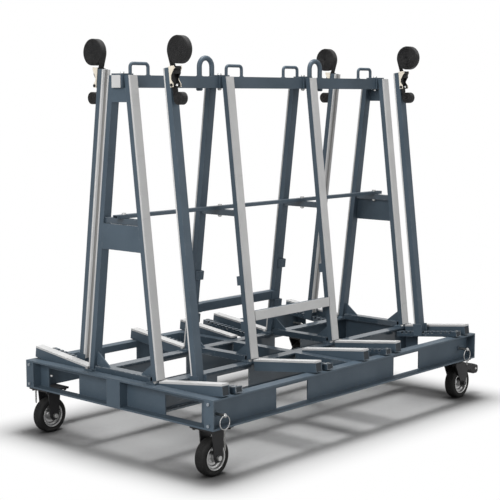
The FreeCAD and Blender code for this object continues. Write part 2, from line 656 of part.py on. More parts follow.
def build_post(side, sign, end, way):
    """Post with its shoe, rubber face, strap, ratchet and ratchet handle."""
    tag = f"{side}_{end}"
    x = f"{way} * {POST_X}"
    across = spread(x, "post_width")
    v = (POST_OUT_V, "post_place")
    post = tilted_tube("post_tube_" + tag, sign, across, v, (POST_LOW_W, "post_top"), "w")
    inset = "tube_wall + saddle_gap / 3"
    lid = tilted_box("post_lid_" + tag, sign, spread(x, f"post_width - 2 * ({inset})"),
                     (f"{POST_OUT_V} + {inset}", f"post_place - ({inset})"),
                     ("post_top - tube_wall", "post_top"))
    pieces = [post, lid]
    middle_v = "(post_place - post_depth / 2)"
    for hand in (-1, 1):
        plate_x = sorted_pair(f"{x} + {hand} * post_width / 2",
                              f"{x} + {hand} * (post_width / 2 + shoe_plate)", hand)
        pieces.append(tilted_box(f"shoe_{tag}_{hand + 1}", sign, plate_x, spread(middle_v, "shoe_length"),
                                 ("tube_wall", "tube_wall + shoe_height")))
    group("post_" + tag, pieces)
    node(tilted_box("post_face_" + tag, sign, across, ("post_place", "post_place + facing_thick"),
                    (f"{POST_LOW_W} + 2 * facing_thick", "post_top")), "post_facing_" + tag)

    spool = FreeCAD.Vector(number(SPOOL_V), number(SPOOL_W), 0)
    anchor = FreeCAD.Vector(number(ANCHOR_V), number(ANCHOR_W), 0)
    slack = size("strap_thick") / 2 + size("strap_gap")
    coil = FreeCAD.Vector(number(f"{POST_OUT_V} - coil_out"), number("post_top + coil_rise"), 0)
    roll = FreeCAD.Vector(number(f"{POST_OUT_V} - roll_out"), number("post_top - roll_drop"), 0)
    long_run = ribbon_path(coil, size("coil_radius"), size("coil_core"), size("strap_pitch"), spool,
                           size("spool_radius") + slack, 1.5 * math.pi)
    short_run = ribbon_path(roll, size("roll_radius"), size("roll_core"), size("strap_pitch"), anchor,
                            size("anchor_radius") + slack, 1.2 * math.pi)
    frame = tilted_placement(sign, number(x))
    straps = []
    for kind, run in (("long", long_run), ("short", short_run)):
        gap, length = least_gap(run)
        print(f"strap {tag} {kind}: length {length:.0f} mm, least gap between turns {gap:.2f} mm")
        straps.append(solid_feature(f"strap_{kind}_{tag}", strap_solid(run, sign), frame))
    group("strap_" + tag, straps)

    build_ratchet(tag, sign, x)


def tilted_plate(name, side, x, outline, thick):
    """Flat plate in the v-w plane of one side, with its middle at one X."""
    corners = [(f"{side} * ({v})", w) for v, w in outline]
    body = polygon_body(name, "YZ_Plane", corners, thick)
    return place(body, x, f"{-side} * {SEAT_Y}", DECK, X_AXIS, f"{-side} * lean")


def build_ratchet(tag, sign, x):
    """Ratchet body on the outer face of a post, and the flared handle that swings about its anchor bolt."""
    low = "(post_top - ratchet_height)"
    high = "(post_top - 2 * ratchet_plate)"
    outline = [(POST_OUT_V, low), (POST_OUT_V, high), (f"{POST_OUT_V} - cheek_shoulder", high),
               (f"{POST_OUT_V} - cheek_top", f"{SPOOL_W} + 0.7 * spool_radius"),
               (f"{POST_OUT_V} - cheek_top", f"{SPOOL_W} - spool_radius"),
               (f"{POST_OUT_V} - cheek_waist", f"{ANCHOR_W} + 0.45 * anchor_drop"),
               (f"{POST_OUT_V} - cheek_low", f"{ANCHOR_W} + 1.6 * anchor_radius"),
               (f"{POST_OUT_V} - cheek_low", low)]
    middle = "(ratchet_inner / 2 + ratchet_plate / 2)"
    pieces = []
    for hand in (-1, 1):
        pieces.append(tilted_plate(f"cheek_{tag}_{hand + 1}", sign, f"{x} + {hand} * {middle}", outline,
                                   "ratchet_plate"))
    wide = spread(x, "ratchet_inner + 2 * ratchet_plate")
    pieces.append(tilted_box("ratchet_back_" + tag, sign, wide, (f"{POST_OUT_V} - ratchet_plate", POST_OUT_V),
                             (low, high)))
    pieces.append(tilted_rod("spool_pin_" + tag, sign, "anchor_radius", wide, SPOOL_V, SPOOL_W))
    pieces.append(tilted_rod("spool_" + tag, sign, "spool_radius", spread(x, "ratchet_inner"),
                             SPOOL_V, SPOOL_W))
    outer = "(ratchet_inner / 2 + 2 * ratchet_plate + 2 * handle_gap)"
    pieces.append(tilted_rod("anchor_" + tag, sign, "anchor_radius", spread(x, f"2 * {outer}"),
                             ANCHOR_V, ANCHOR_W))
    for hand in (-1, 1):
        head = sorted_pair(f"{x} + {hand} * {outer}", f"{x} + {hand} * ({outer} + ratchet_plate)", hand)
        pieces.append(tilted_rod(f"anchor_head_{tag}_{hand + 1}", sign, "1.6 * anchor_radius", head,
                                 ANCHOR_V, ANCHOR_W))
    node(fuse("ratchet_body_" + tag, pieces), "ratchet_" + tag)

    top = f"({ANCHOR_W} + handle_length)"
    near = f"({POST_OUT_V} - handle_gap)"
    outline = [(near, f"{ANCHOR_W} - handle_tail"), (near, top), (f"{POST_OUT_V} - handle_top", top),
               (f"{POST_OUT_V} - 0.93 * handle_top", f"{ANCHOR_W} + 0.82 * handle_length"),
               (f"{POST_OUT_V} - 1.3 * handle_waist", f"{ANCHOR_W} + 0.5 * handle_length"),
               (f"{POST_OUT_V} - handle_waist", f"{ANCHOR_W} + 0.3 * handle_length"),
               (f"{POST_OUT_V} - handle_foot", f"{ANCHOR_W} + 1.5 * anchor_radius"),
               (f"{POST_OUT_V} - handle_foot", f"{ANCHOR_W} - handle_tail")]
    middle = "(ratchet_inner / 2 + 1.5 * ratchet_plate + handle_gap)"
    pieces = []
    for hand in (-1, 1):
        pieces.append(tilted_plate(f"lever_{tag}_{hand + 1}", sign, f"{x} + {hand} * {middle}", outline,
                                   "ratchet_plate"))
    grip_v = f"({POST_OUT_V} - handle_top + 0.7 * grip_radius)"
    grip_w = f"({top} - 1.5 * grip_radius)"
    pieces.append(tilted_rod("grip_" + tag, sign, "grip_radius", spread(x, f"2 * {middle}"), grip_v, grip_w))
    hole = tilted_rod("lever_hole_" + tag, sign, "anchor_radius + run_gap", spread(x, "3 * ratchet_inner"),
                      ANCHOR_V, ANCHOR_W)
    node(cut("lever_bored_" + tag, fuse("lever_body_" + tag, pieces), [hole]), "ratchet_handle_" + tag)


def build_rail(side, sign):
    """Rubber-faced rail between the two middle frames, hung by tongues in the sockets."""
    leg_x = MID_FRAME_X
    half = f"({leg_x} - leg_width / 2 - rail_gap)"
    back = f"({LEG_IN_V} + rail_gap)"
    w = ("rail_place", "rail_place + rail_height")
    bar = tilted_tube("rail_tube_" + side, sign, (f"-{half}", half), (f"{back} - leg_depth", back), w, "x")
    pieces = [bar]
    for end, way in ENDS.items():
        x = sorted_pair(f"{way} * ({half} - tongue_width)", f"{way} * ({leg_x} + tongue_width / 2)", way)
        depth = (back, f"{back} + tongue_thick")
        strip = tilted_box(f"tongue_arm_{side}_{end}", sign, x, depth,
                           (f"{w[0]} + saddle_gap", f"{w[1]} - saddle_gap"))
        drop = tilted_box(f"tongue_drop_{side}_{end}", sign, spread(f"{way} * {leg_x}", "tongue_width"),
                          depth, (f"{w[0]} - tongue_drop", f"{w[0]} + tongue_width"))
        pieces.append(fuse(f"tongue_{side}_{end}", [strip, drop]))
    group("rail_" + side, pieces)
    half = f"({leg_x} - facing_width / 2 - rail_gap)"
    face = f"({back} - leg_depth)"
    node(tilted_box("rail_face_" + side, sign, (f"-{half}", half), (f"{face} - facing_thick", face), w),
         "rail_facing_" + side)


def wheel_body(name, outline):
    """Body turned about the Y axis from a closed outline of radius and width."""
    body, sketch = outline_body(name, "XY_Plane", outline)
    turned = doc.addObject("PartDesign::Revolution", name + "_turned")
    body.addObject(turned)
    turned.Profile = sketch
    turned.ReferenceAxis = (sketch, ["V_Axis"])
    turned.Angle = 360
    body.Tip = turned
    return body


# Casters take their height from the base: the wheels fill what the headroom for plate, race and fork leaves
WHEEL_R = "((ground_height - caster_headroom) / 2)"
RIM_R = f"(rim_share * {WHEEL_R})"
HUB_R = f"(hub_share * {WHEEL_R})"
RIM_STEP = f"(step_share * {WHEEL_R})"
FORK_HIGH = "(ground_height - caster_plate_thick - race_height - swivel_gap)"
PEDAL_Z = f"({FORK_HIGH} - pedal_drop)"
TYRE_HALF = [(RIM_R, "wheel_width / 2"), (f"{WHEEL_R} - 0.75 * shoulder", "wheel_width / 2"),
             (f"{WHEEL_R} - 0.2 * shoulder", "wheel_width / 2 - 0.35 * shoulder"),
             (WHEEL_R, "wheel_width / 2 - shoulder")]
TYRE = TYRE_HALF + [(a, f"-({b})") for a, b in reversed(TYRE_HALF)]
RIM_HALF = [("axle_radius + run_gap", "hub_width / 2"), (HUB_R, "hub_width / 2"),
            (f"{HUB_R} + 2", f"disc_half + {RIM_STEP}"), (f"{HUB_R} + {RIM_STEP}", "disc_half"),
            (f"{RIM_R} - 3 * {RIM_STEP}", "disc_half"),
            (f"{RIM_R} - 2.5 * {RIM_STEP}", f"disc_half + {RIM_STEP}"),
            (f"{RIM_R} - 1.5 * {RIM_STEP}", f"disc_half + {RIM_STEP}"),
            (f"{RIM_R} - {RIM_STEP}", "wheel_width / 2 - 2"), (RIM_R, "wheel_width / 2 - 2")]
RIM = RIM_HALF + [(a, f"-({b})") for a, b in reversed(RIM_HALF)]


# Side outline of a brake pedal about its pivot: the boss, then the arm and block that hang behind the tyre
PEDAL_CORNERS = ((-8, -3), (-5, 7), (8, 9), (32, 3), (88, -8), (110, -14), (117, -22), (117, -44),
                 (108, -53), (78, -53), (56, -33), (30, -16), (7, -9))
PEDAL = [(f"pedal_out + {x}", str(z)) for x, z in PEDAL_CORNERS]


def fork_plate(name, points, x, y, thick):
    """Flat side plate of a caster fork."""
    body = polygon_body(name, "XZ_Plane", points, thick)
    return place(body, x, y, "0")


def build_casters():
    """Rigid brackets, swivel plates, swivel forks, brake pedals and wheels."""
    mounts = []
    top = "ground_height"
    under = "(ground_height - caster_plate_thick)"
    wheel_z = WHEEL_R
    for side, sign in SIDES.items():
        y = f"{-sign} * (base_width / 2 - caster_inset_y)"
        rigid_x = "-(base_length / 2 - rigid_inset)"
        swivel_x = "(base_length / 2 - swivel_inset)"
        wheel_x = f"({swivel_x} + trail)"
        plate_y = spread(y, "caster_plate")
        cheek_y = "(fork_gap / 2 + fork_plate / 2)"

        deck = box("rigid_plate_" + side, spread(rigid_x, "caster_plate"), plate_y, (under, top))
        yoke = box("rigid_yoke_" + side, spread(rigid_x, "1.1 * fork_gap"),
                   spread(y, "fork_gap + 2 * fork_plate"), (f"{under} - fork_top", f"{under} + 1"))
        outline = [("-0.55 * fork_gap", f"{under} - 1"), ("-fork_waist", f"{wheel_z} - 2"),
                   ("-fork_toe", f"{wheel_z} - fork_foot"), ("fork_toe", f"{wheel_z} - fork_foot"),
                   ("fork_waist", f"{wheel_z} - 2"), ("0.55 * fork_gap", f"{under} - 1")]
        cheeks = [fork_plate(f"rigid_cheek_{side}_{hand + 1}", outline, rigid_x, f"{y} + {hand} * {cheek_y}",
                             "fork_plate") for hand in (-1, 1)]
        body = fuse("rigid_weld_" + side, [deck, yoke] + cheeks)
        hole = axle("rigid_axle_hole_" + side, "axle_radius + run_gap", rigid_x, y,
                    "fork_gap + 6 * fork_plate")
        mounts.append(cut("rigid_bracket_" + side, body, [hole]))

        plate = box("swivel_plate_" + side, spread(swivel_x, "caster_plate"), plate_y, (under, top))
        race = cylinder("swivel_race_" + side, "race_radius", "race_height + 1", swivel_x, y,
                        f"{under} - race_height")
        fork_low = f"({FORK_HIGH} - fork_top)"
        pin = cylinder("kingpin_" + side, "kingpin_radius", "race_height + fork_top + 8", swivel_x, y,
                       f"{fork_low} - 7")
        nut = cylinder("kingpin_nut_" + side, "1.7 * kingpin_radius", "6.5", swivel_x, y, f"{fork_low} - 7")
        mounts.append(fuse("swivel_mount_" + side, [plate, race, pin, nut]))

        pivot = ("(trail + pedal_out)", PEDAL_Z)
        outline = [("-crown_back", FORK_HIGH), ("-crown_back", f"{fork_low} - 4"),
                   ("trail - fork_waist", f"{wheel_z} + 6"), ("trail - fork_toe", f"{wheel_z} - fork_foot"),
                   ("trail + fork_toe", f"{wheel_z} - fork_foot"), ("trail + fork_waist", f"{wheel_z} + 6"),
                   (f"{pivot[0]} + 2.5 * pedal_pin", f"{pivot[1]} - 2.2 * pedal_pin"),
                   (f"{pivot[0]} + 2.5 * pedal_pin", f"{pivot[1]} + 1.8 * pedal_pin"),
                   ("crown_front", FORK_HIGH)]
        cheeks = [fork_plate(f"swivel_cheek_{side}_{hand + 1}", outline, swivel_x,
                             f"{y} + {hand} * {cheek_y}", "fork_plate") for hand in (-1, 1)]
        crown = box("swivel_crown_" + side, (f"{swivel_x} - crown_back", f"{swivel_x} + crown_front"),
                    spread(y, "fork_gap + fork_plate"), (fork_low, FORK_HIGH))
        bore = cylinder("crown_bore_" + side, "kingpin_radius + run_gap", "4 * fork_top", swivel_x, y,
                        f"{fork_low} - fork_top")
        pedal_hole = rod_y("pedal_hole_" + side, "pedal_pin + run_gap", f"{swivel_x} + {pivot[0]}", y,
                           pivot[1], "fork_gap + 6 * fork_plate")
        hole = axle("swivel_axle_hole_" + side, "axle_radius + run_gap", wheel_x, y,
                    "fork_gap + 6 * fork_plate")
        body = cut("swivel_bored_" + side, fuse("swivel_weld_" + side, cheeks + [crown]),
                   [bore, pedal_hole, hole])
        bolt = axle_bolt("swivel_axle_" + side, wheel_x, y)
        group("caster_fork_" + side, [body, bolt])

        tread = polygon_body("pedal_tread_" + side, "XZ_Plane", PEDAL, "pedal_width")
        place(tread, wheel_x, y, PEDAL_Z)
        pin = rod_y("pedal_pin_" + side, "pedal_pin", f"{swivel_x} + {pivot[0]}", y, pivot[1],
                    "fork_gap + 3 * fork_plate")
        node(fuse("pedal_" + side, [tread, pin]), "brake_pedal_" + side)

        for end, x in (("left", rigid_x), ("right", wheel_x)):
            tyre = wheel_body(f"tyre_{side}_{end}", TYRE)
            node(place(tyre, x, y, wheel_z), f"tyre_{side}_{end}")
            rim = wheel_body(f"rim_{side}_{end}", RIM)
            node(place(rim, x, y, wheel_z), f"rim_{side}_{end}")
    group("caster_mounts", mounts)


def rod_y(name, radius, x, y, z, length):
    """Round bar along Y, centred on a point."""
    return cylinder(name, radius, length, x, f"({y}) + ({length}) / 2", z, X_AXIS, "90")


def axle(name, radius, x, y, length):
    """Round bar along Y at the height of the wheel centres."""
    return rod_y(name, radius, x, y, WHEEL_R, length)


def axle_bolt(name, x, y):
    """Axle with a head and a nut outside the fork plates."""
    half = "(fork_gap / 2 + fork_plate)"
    shank = axle(name + "_shank", "axle_radius", x, y, f"2 * ({half} + axle_end)")
    heads = []
    for hand in (-1, 1):
        heads.append(rod_y(f"{name}_head_{hand + 1}", "1.7 * axle_radius", x,
                           f"{y} + {hand} * ({half} + axle_end / 2)", WHEEL_R, "axle_end"))
    return fuse(name, [shank] + heads)


def chain_link(wire, length, width):
    """One oval link in the X-Z plane about its centre."""
    half = (width - wire * 2) / 2
    run = (length - width) / 2
    corners = []
    for sign in (1, -1):
        corners.append((FreeCAD.Vector(half * sign, 0, -run * sign),
                        FreeCAD.Vector(half * sign, 0, run * sign)))
    edges = [Part.makeLine(*corners[0]),
             Part.Arc(corners[0][1], FreeCAD.Vector(0, 0, run + half), corners[1][0]).toShape(),
             Part.makeLine(*corners[1]),
             Part.Arc(corners[1][1], FreeCAD.Vector(0, 0, -run - half), corners[0][0]).toShape()]
    ring = Part.Wire([Part.makeCircle(wire, corners[0][0], Z_AXIS)])
    return Part.Wire(edges).makePipeShell([ring], True, True)


def build_pins():
    """Locking pins through the long webs, each with a ring and a keeper chain."""
    wire, length, width = size("link_wire"), size("link_length"), size("link_width")
    shape = chain_link(wire, length, width)
    pitch = length - 4 * wire - size("link_play")
    for side, sign in SIDES.items():
        for end, way in ENDS.items():
            tag = f"{side}_{end}"
            x = PIN_X[end]
            z = "(ground_height + pin_height)"
            head_y = f"{-sign} * (base_width / 2 + pin_stand)"
            shank = cylinder("pin_shank_" + tag, "pin_radius", "pin_reach + pin_stand", x, head_y, z, X_AXIS,
                             f"{-sign} * 90")
            head = doc.addObject("Part::Sphere", "pin_head_" + tag)
            bind(head, "Radius", "pin_head")
            place(head, x, head_y, z)
            eye = cylinder("pin_eye_" + tag, "2 * ring_wire", "4 * pin_head", f"{x} - 2 * pin_head",
                           head_y, z, Y_AXIS, "90")
            pin = cut("pin_bored_" + tag, fuse("pin_body_" + tag, [shank, head]), [eye])
            ring = doc.addObject("Part::Torus", "pin_ring_" + tag)
            bind(ring, "Radius1", "ring_radius")
            bind(ring, "Radius2", "ring_wire")
            place(ring, x, head_y, f"{z} - ring_radius", X_AXIS, "90")
            pieces = [pin, ring]
            count = 9 if way < 0 else 2
            base = FreeCAD.Vector(number(x), number(head_y), number(f"{z} - 2 * ring_radius"))
            start = size("ring_wire") + wire - (length / 2) + wire - size("ring_wire") * 2 - size("link_play")
            for index in range(count):
                turn = FreeCAD.Rotation(Z_AXIS, 90 if index % 2 == 0 else 0)
                spot = base + FreeCAD.Vector(0, 0, start - index * pitch)
                link = solid_feature(f"link_{tag}_{index}", shape.copy(), FreeCAD.Placement(spot, turn))
                pieces.append(link)
            group("pin_" + tag, pieces)


def bolt(name, x, y, low, high, nut=True):
    """Bolt along Z between two levels, head above and nut below."""
    length = f"({high}) - ({low}) + 2.4 * bolt_head_rise"
    shank = cylinder(name + "_shank", "bolt_radius", length, x, y, f"({low}) - 1.4 * bolt_head_rise")
    parts = [shank, hexagon(name + "_head", x, y, high)]
    if nut:
        parts.append(hexagon(name + "_nut", x, y, f"({low}) - bolt_head_rise"))
    return fuse(name, parts)


def hexagon(name, x, y, z, radius="bolt_head"):
    """Hexagonal head or nut that starts at one level."""
    item = doc.addObject("Part::Prism", name)
    item.Polygon = 6
    bind(item, "Circumradius", radius)
    bind(item, "Height", "bolt_head_rise")
    return place(item, x, y, z)


def build_fasteners():
    """Bolts of the ridge, tie bar, feet and corners, the rigid axles and the track stop pins."""
    pieces = []
    for index, x in enumerate(FRAME_X):
        pieces.append(bolt(f"ridge_bolt_{index}", x, "0", "ridge_top - ridge_size",
                           "ridge_top + saddle_gap + saddle_plate"))
        pieces.append(bolt(f"tie_bolt_{index}", x, "0", "tie_height - mid_bar", "tie_height + tie_rise"))
        for side, sign in SIDES.items():
            for hand in (-1, 1):
                bolt_x = f"{x} + {hand} * (leg_width / 2 + foot_bolt_gap + bolt_head)"
                bolt_y = f"{-sign} * ({BAR_Y} + deck_bar / 2 - bolt_head)"
                pieces.append(hexagon(f"foot_bolt_{side}_{index}_{hand + 1}", bolt_x, bolt_y, FOOT_Z))
    for side, sign in SIDES.items():
        y = f"{-sign} * (base_width / 2 - caster_inset_y)"
        pieces.append(axle_bolt("rigid_axle_" + side, "-(base_length / 2 - rigid_inset)", y))
        for end, way in ENDS.items():
            for level, z in (("low", "0.15 * base_height"), ("high", "0.85 * base_height")):
                head = hexagon(f"corner_bolt_{side}_{end}_{level}", f"{way} * base_length / 2",
                               f"{-sign} * (base_width / 2 - flange_width / 2)", f"ground_height + {z}",
                               "corner_bolt")
                head.Placement = FreeCAD.Placement(FreeCAD.Vector(), FreeCAD.Rotation(Y_AXIS, way * 90))
                pieces.append(head)
        for index, x in enumerate(FRAME_X):
            inward = "+" if index < 2 else "-"
            near = f"({ARM_OUT_V} + stop_inset)"
            pieces.append(tilted_box(f"track_stop_{side}_{index}", sign,
                                     spread(f"{x} {inward} track_shift", "stop_size"),
                                     (near, f"{near} + stop_size"),
                                     ("track_height", "track_height + stop_rise")))
    group("fasteners", pieces)


build_base()
build_frames()
build_ridge()
build_arms()
for side_name, side_sign in SIDES.items():
    for end_name, end_sign in ENDS.items():
        build_post(side_name, side_sign, end_name, end_sign)
    build_rail(side_name, side_sign)
build_casters()
build_pins()
build_fasteners()
doc.recompute()

for item in doc.Objects:
    if "Invalid" in item.State or "Error" in item.State:
        raise RuntimeError(f"{item.Label} did not recompute: {item.State}")
os.makedirs("parts", exist_ok=True)
for item in NODES:
    if item.Shape.isNull() or not item.Shape.isValid():
        raise RuntimeError(f"{item.Label} has no valid shape")
    item.Shape.exportStep(f"parts/{item.Label}.step")
    print(f"{item.Label}: {len(item.Shape.Solids)} solids, {item.Shape.Volume / 1000:.1f} cm3")
print(f"{len(NODES)} nodes written")
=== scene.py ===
"""Slab A-frame cart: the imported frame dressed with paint, rubber, webbing and steel, in a pale studio."""

import logging
import math
from dataclasses import dataclass, field
from enum import Enum
from typing import Callable

import bmesh
import bpy
from mathutils import Matrix, Vector


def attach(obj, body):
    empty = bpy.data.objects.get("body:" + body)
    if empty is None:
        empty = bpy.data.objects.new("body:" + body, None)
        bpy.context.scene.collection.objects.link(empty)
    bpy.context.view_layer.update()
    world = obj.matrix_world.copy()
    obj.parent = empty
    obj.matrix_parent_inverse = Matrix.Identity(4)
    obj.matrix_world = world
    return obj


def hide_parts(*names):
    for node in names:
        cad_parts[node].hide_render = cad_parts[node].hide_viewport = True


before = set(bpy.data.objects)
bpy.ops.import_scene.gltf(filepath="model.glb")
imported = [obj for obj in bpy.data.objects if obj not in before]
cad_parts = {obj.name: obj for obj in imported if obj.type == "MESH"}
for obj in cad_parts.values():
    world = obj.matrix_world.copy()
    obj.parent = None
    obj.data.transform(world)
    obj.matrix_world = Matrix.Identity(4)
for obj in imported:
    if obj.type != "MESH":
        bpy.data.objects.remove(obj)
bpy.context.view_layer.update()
LOG = logging.getLogger("slab_cart")
# A colour, an outline or turned profile, and rows of three sizes.
Colour = tuple[float, float, float]
Pairs = tuple[tuple[float, float], ...] | list[tuple[float, float]]
Triples = tuple[tuple[float, float, float], ...]

X_AXIS = Vector((1.0, 0.0, 0.0))
Y_AXIS = Vector((0.0, 1.0, 0.0))
Z_AXIS = Vector((0.0, 0.0, 1.0))
HANDS = (-1, 1)

# Places of the four A-frames along the cart, and the slant of their legs.
FRAME_X = (-0.843, -0.281, 0.281, 0.843)
LEAN = math.radians(6.8)

# Values that several finishes share.
DUST_COLOUR: Colour = (0.42, 0.41, 0.39)
RELIEF = 0.001
BEVEL_SAMPLES = 4

# Numbers of sides of a weld bead and a nut, and of spans along a rubber strip.
BEAD_SIDES = 8
HEXAGON = 6
STRIP_SPANS = 24


class Side(Enum):
    """Long side of the cart; the value points from the centre to that side along -Y."""

    FRONT = 1
    REAR = -1


class End(Enum):
    """Short end of the cart; the value is the sign of X."""

    LEFT = -1
    RIGHT = 1


def corner_tag(side: Side, end: End) -> str:
    """Name of one corner, as the frame's nodes use it."""
    return f"{side.name.lower()}_{end.name.lower()}"


class NodeTree:
    """Small helper that adds and links shader nodes in one tree."""

    def __init__(self, tree: bpy.types.NodeTree) -> None:
        """Keeps the tree that the nodes go into."""
        self.tree = tree

    def add(self, kind: str, inputs: dict | None = None, **settings: object) -> bpy.types.Node:
        """Adds one node.

        Args:
            kind: Blender's node type name without its ShaderNode prefix.
            inputs: Socket name or index to a value, or to an output socket to link.
            settings: Node properties to set.

        Returns:
            The new node.
        """
        node = self.tree.nodes.new(kind if kind.startswith("NodeGroup") else "ShaderNode" + kind)
        for name, value in settings.items():
            setattr(node, name, value)
        for name, value in (inputs or {}).items():
            self.feed(node, name, value)
        return node

    def feed(self, node: bpy.types.Node, name: str | int, value: object) -> None:
        """Sets or links one input socket of a node.

        Args:
            node: Node that has the socket.
            name: Name or index of the socket.
            value: Value to set, or output socket to link.
        """
        if isinstance(value, bpy.types.NodeSocket):
            self.tree.links.new(value, node.inputs[name])
        else:
            node.inputs[name].default_value = value

    def math(self, operation: str, first: object, second: object = 0.0,
             clamp: bool = False) -> bpy.types.NodeSocket:
        """Result of one math node."""
        return self.add("Math", {0: first, 1: second}, operation=operation, use_clamp=clamp).outputs[0]

    def vector(self, operation: str, first: object, second: object = (0.0, 0.0, 0.0),
               output: str = "Vector") -> bpy.types.NodeSocket:
        """Result of one vector math node."""
        return self.add("VectorMath", {0: first, 1: second}, operation=operation).outputs[output]

    def remap(self, value: object, low: float, high: float, to_low: float = 0.0,
              to_high: float = 1.0) -> bpy.types.NodeSocket:
        """Value moved from one range to another and kept inside it."""
        inputs = {"Value": value, "From Min": low, "From Max": high, "To Min": to_low, "To Max": to_high}
        return self.add("MapRange", inputs).outputs["Result"]

    def mix(self, factor: object, first: object, second: object) -> bpy.types.NodeSocket:
        """Mixes two colours.

        Args:
            factor: Share of the second colour.
            first: First colour, or a socket that carries it.
            second: Second colour, or a socket that carries it.

        Returns:
            The mixed colour.
        """
        # A Mix node has its colour sockets behind those for numbers and vectors.
        node = self.add("Mix", data_type="RGBA")
        for index, value in ((0, factor), (6, first), (7, second)):
            self.feed(node, index, (*value, 1.0) if isinstance(value, tuple) else value)
        return node.outputs[2]

    def place(self) -> bpy.types.NodeSocket:
        """Place on the piece, in its own object space."""
        return self.add("TexCoord").outputs["Object"]

    def part(self, vector: object, index: int) -> bpy.types.NodeSocket:
        """One coordinate of a vector."""
        return self.add("SeparateXYZ", {0: vector}).outputs[index]

    def noise(self, place: object, scale: object, detail: float, roughness: float) -> bpy.types.NodeSocket:
        """Value of one noise texture."""
        inputs = {"Vector": place, "Scale": scale, "Detail": detail, "Roughness": roughness}
        return self.add("TexNoise", inputs).outputs[0]

    def bump(self, strength: float, height: object, edge_radius: float) -> bpy.types.NodeSocket:
        """Gives a surface fine relief and softened edges.

        Args:
            strength: Strength of the relief.
            height: Height of the relief.
            edge_radius: Radius of the softened edges.

        Returns:
            The surface's normal.
        """
        soft = self.add("Bevel", {"Radius": edge_radius}, samples=BEVEL_SAMPLES).outputs[0]
        inputs = {"Strength": strength, "Distance": RELIEF, "Height": height, "Normal": soft}
        return self.add("Bump", inputs).outputs[0]


def make_group(name: str, inputs: dict[str, float], outputs: tuple[str, ...],
               build: Callable[[NodeTree, dict], dict]) -> bpy.types.ShaderNodeTree:
    """Builds one shader node group.

    Args:
        name: Name of the group.
        inputs: Input names with their default values.
        outputs: Names of the value outputs.
        build: Function that adds the nodes and returns each output's socket.

    Returns:
        The finished node group.
    """
    group = bpy.data.node_groups.new(name, "ShaderNodeTree")
    for label, value in inputs.items():
        socket = group.interface.new_socket(name=label, in_out="INPUT", socket_type="NodeSocketFloat")
        socket.default_value = value
    for label in outputs:
        group.interface.new_socket(name=label, in_out="OUTPUT", socket_type="NodeSocketFloat")
    tree = NodeTree(group)
    entry = tree.add("NodeGroupInput")
    leave = tree.add("NodeGroupOutput")
    for label, socket in build(tree, {key: entry.outputs[key] for key in inputs}).items():
        group.links.new(socket, leave.inputs[label])
    return group


def blank_material(name: str) -> tuple[bpy.types.Material, NodeTree, bpy.types.Node]:
    """Starts a node material.

    Args:
        name: Name of the material.

    Returns:
        The material, its tree and its shader.
    """
    made = bpy.data.materials.new(name)
    made.use_nodes = True
    return made, NodeTree(made.node_tree), made.node_tree.nodes["Principled BSDF"]


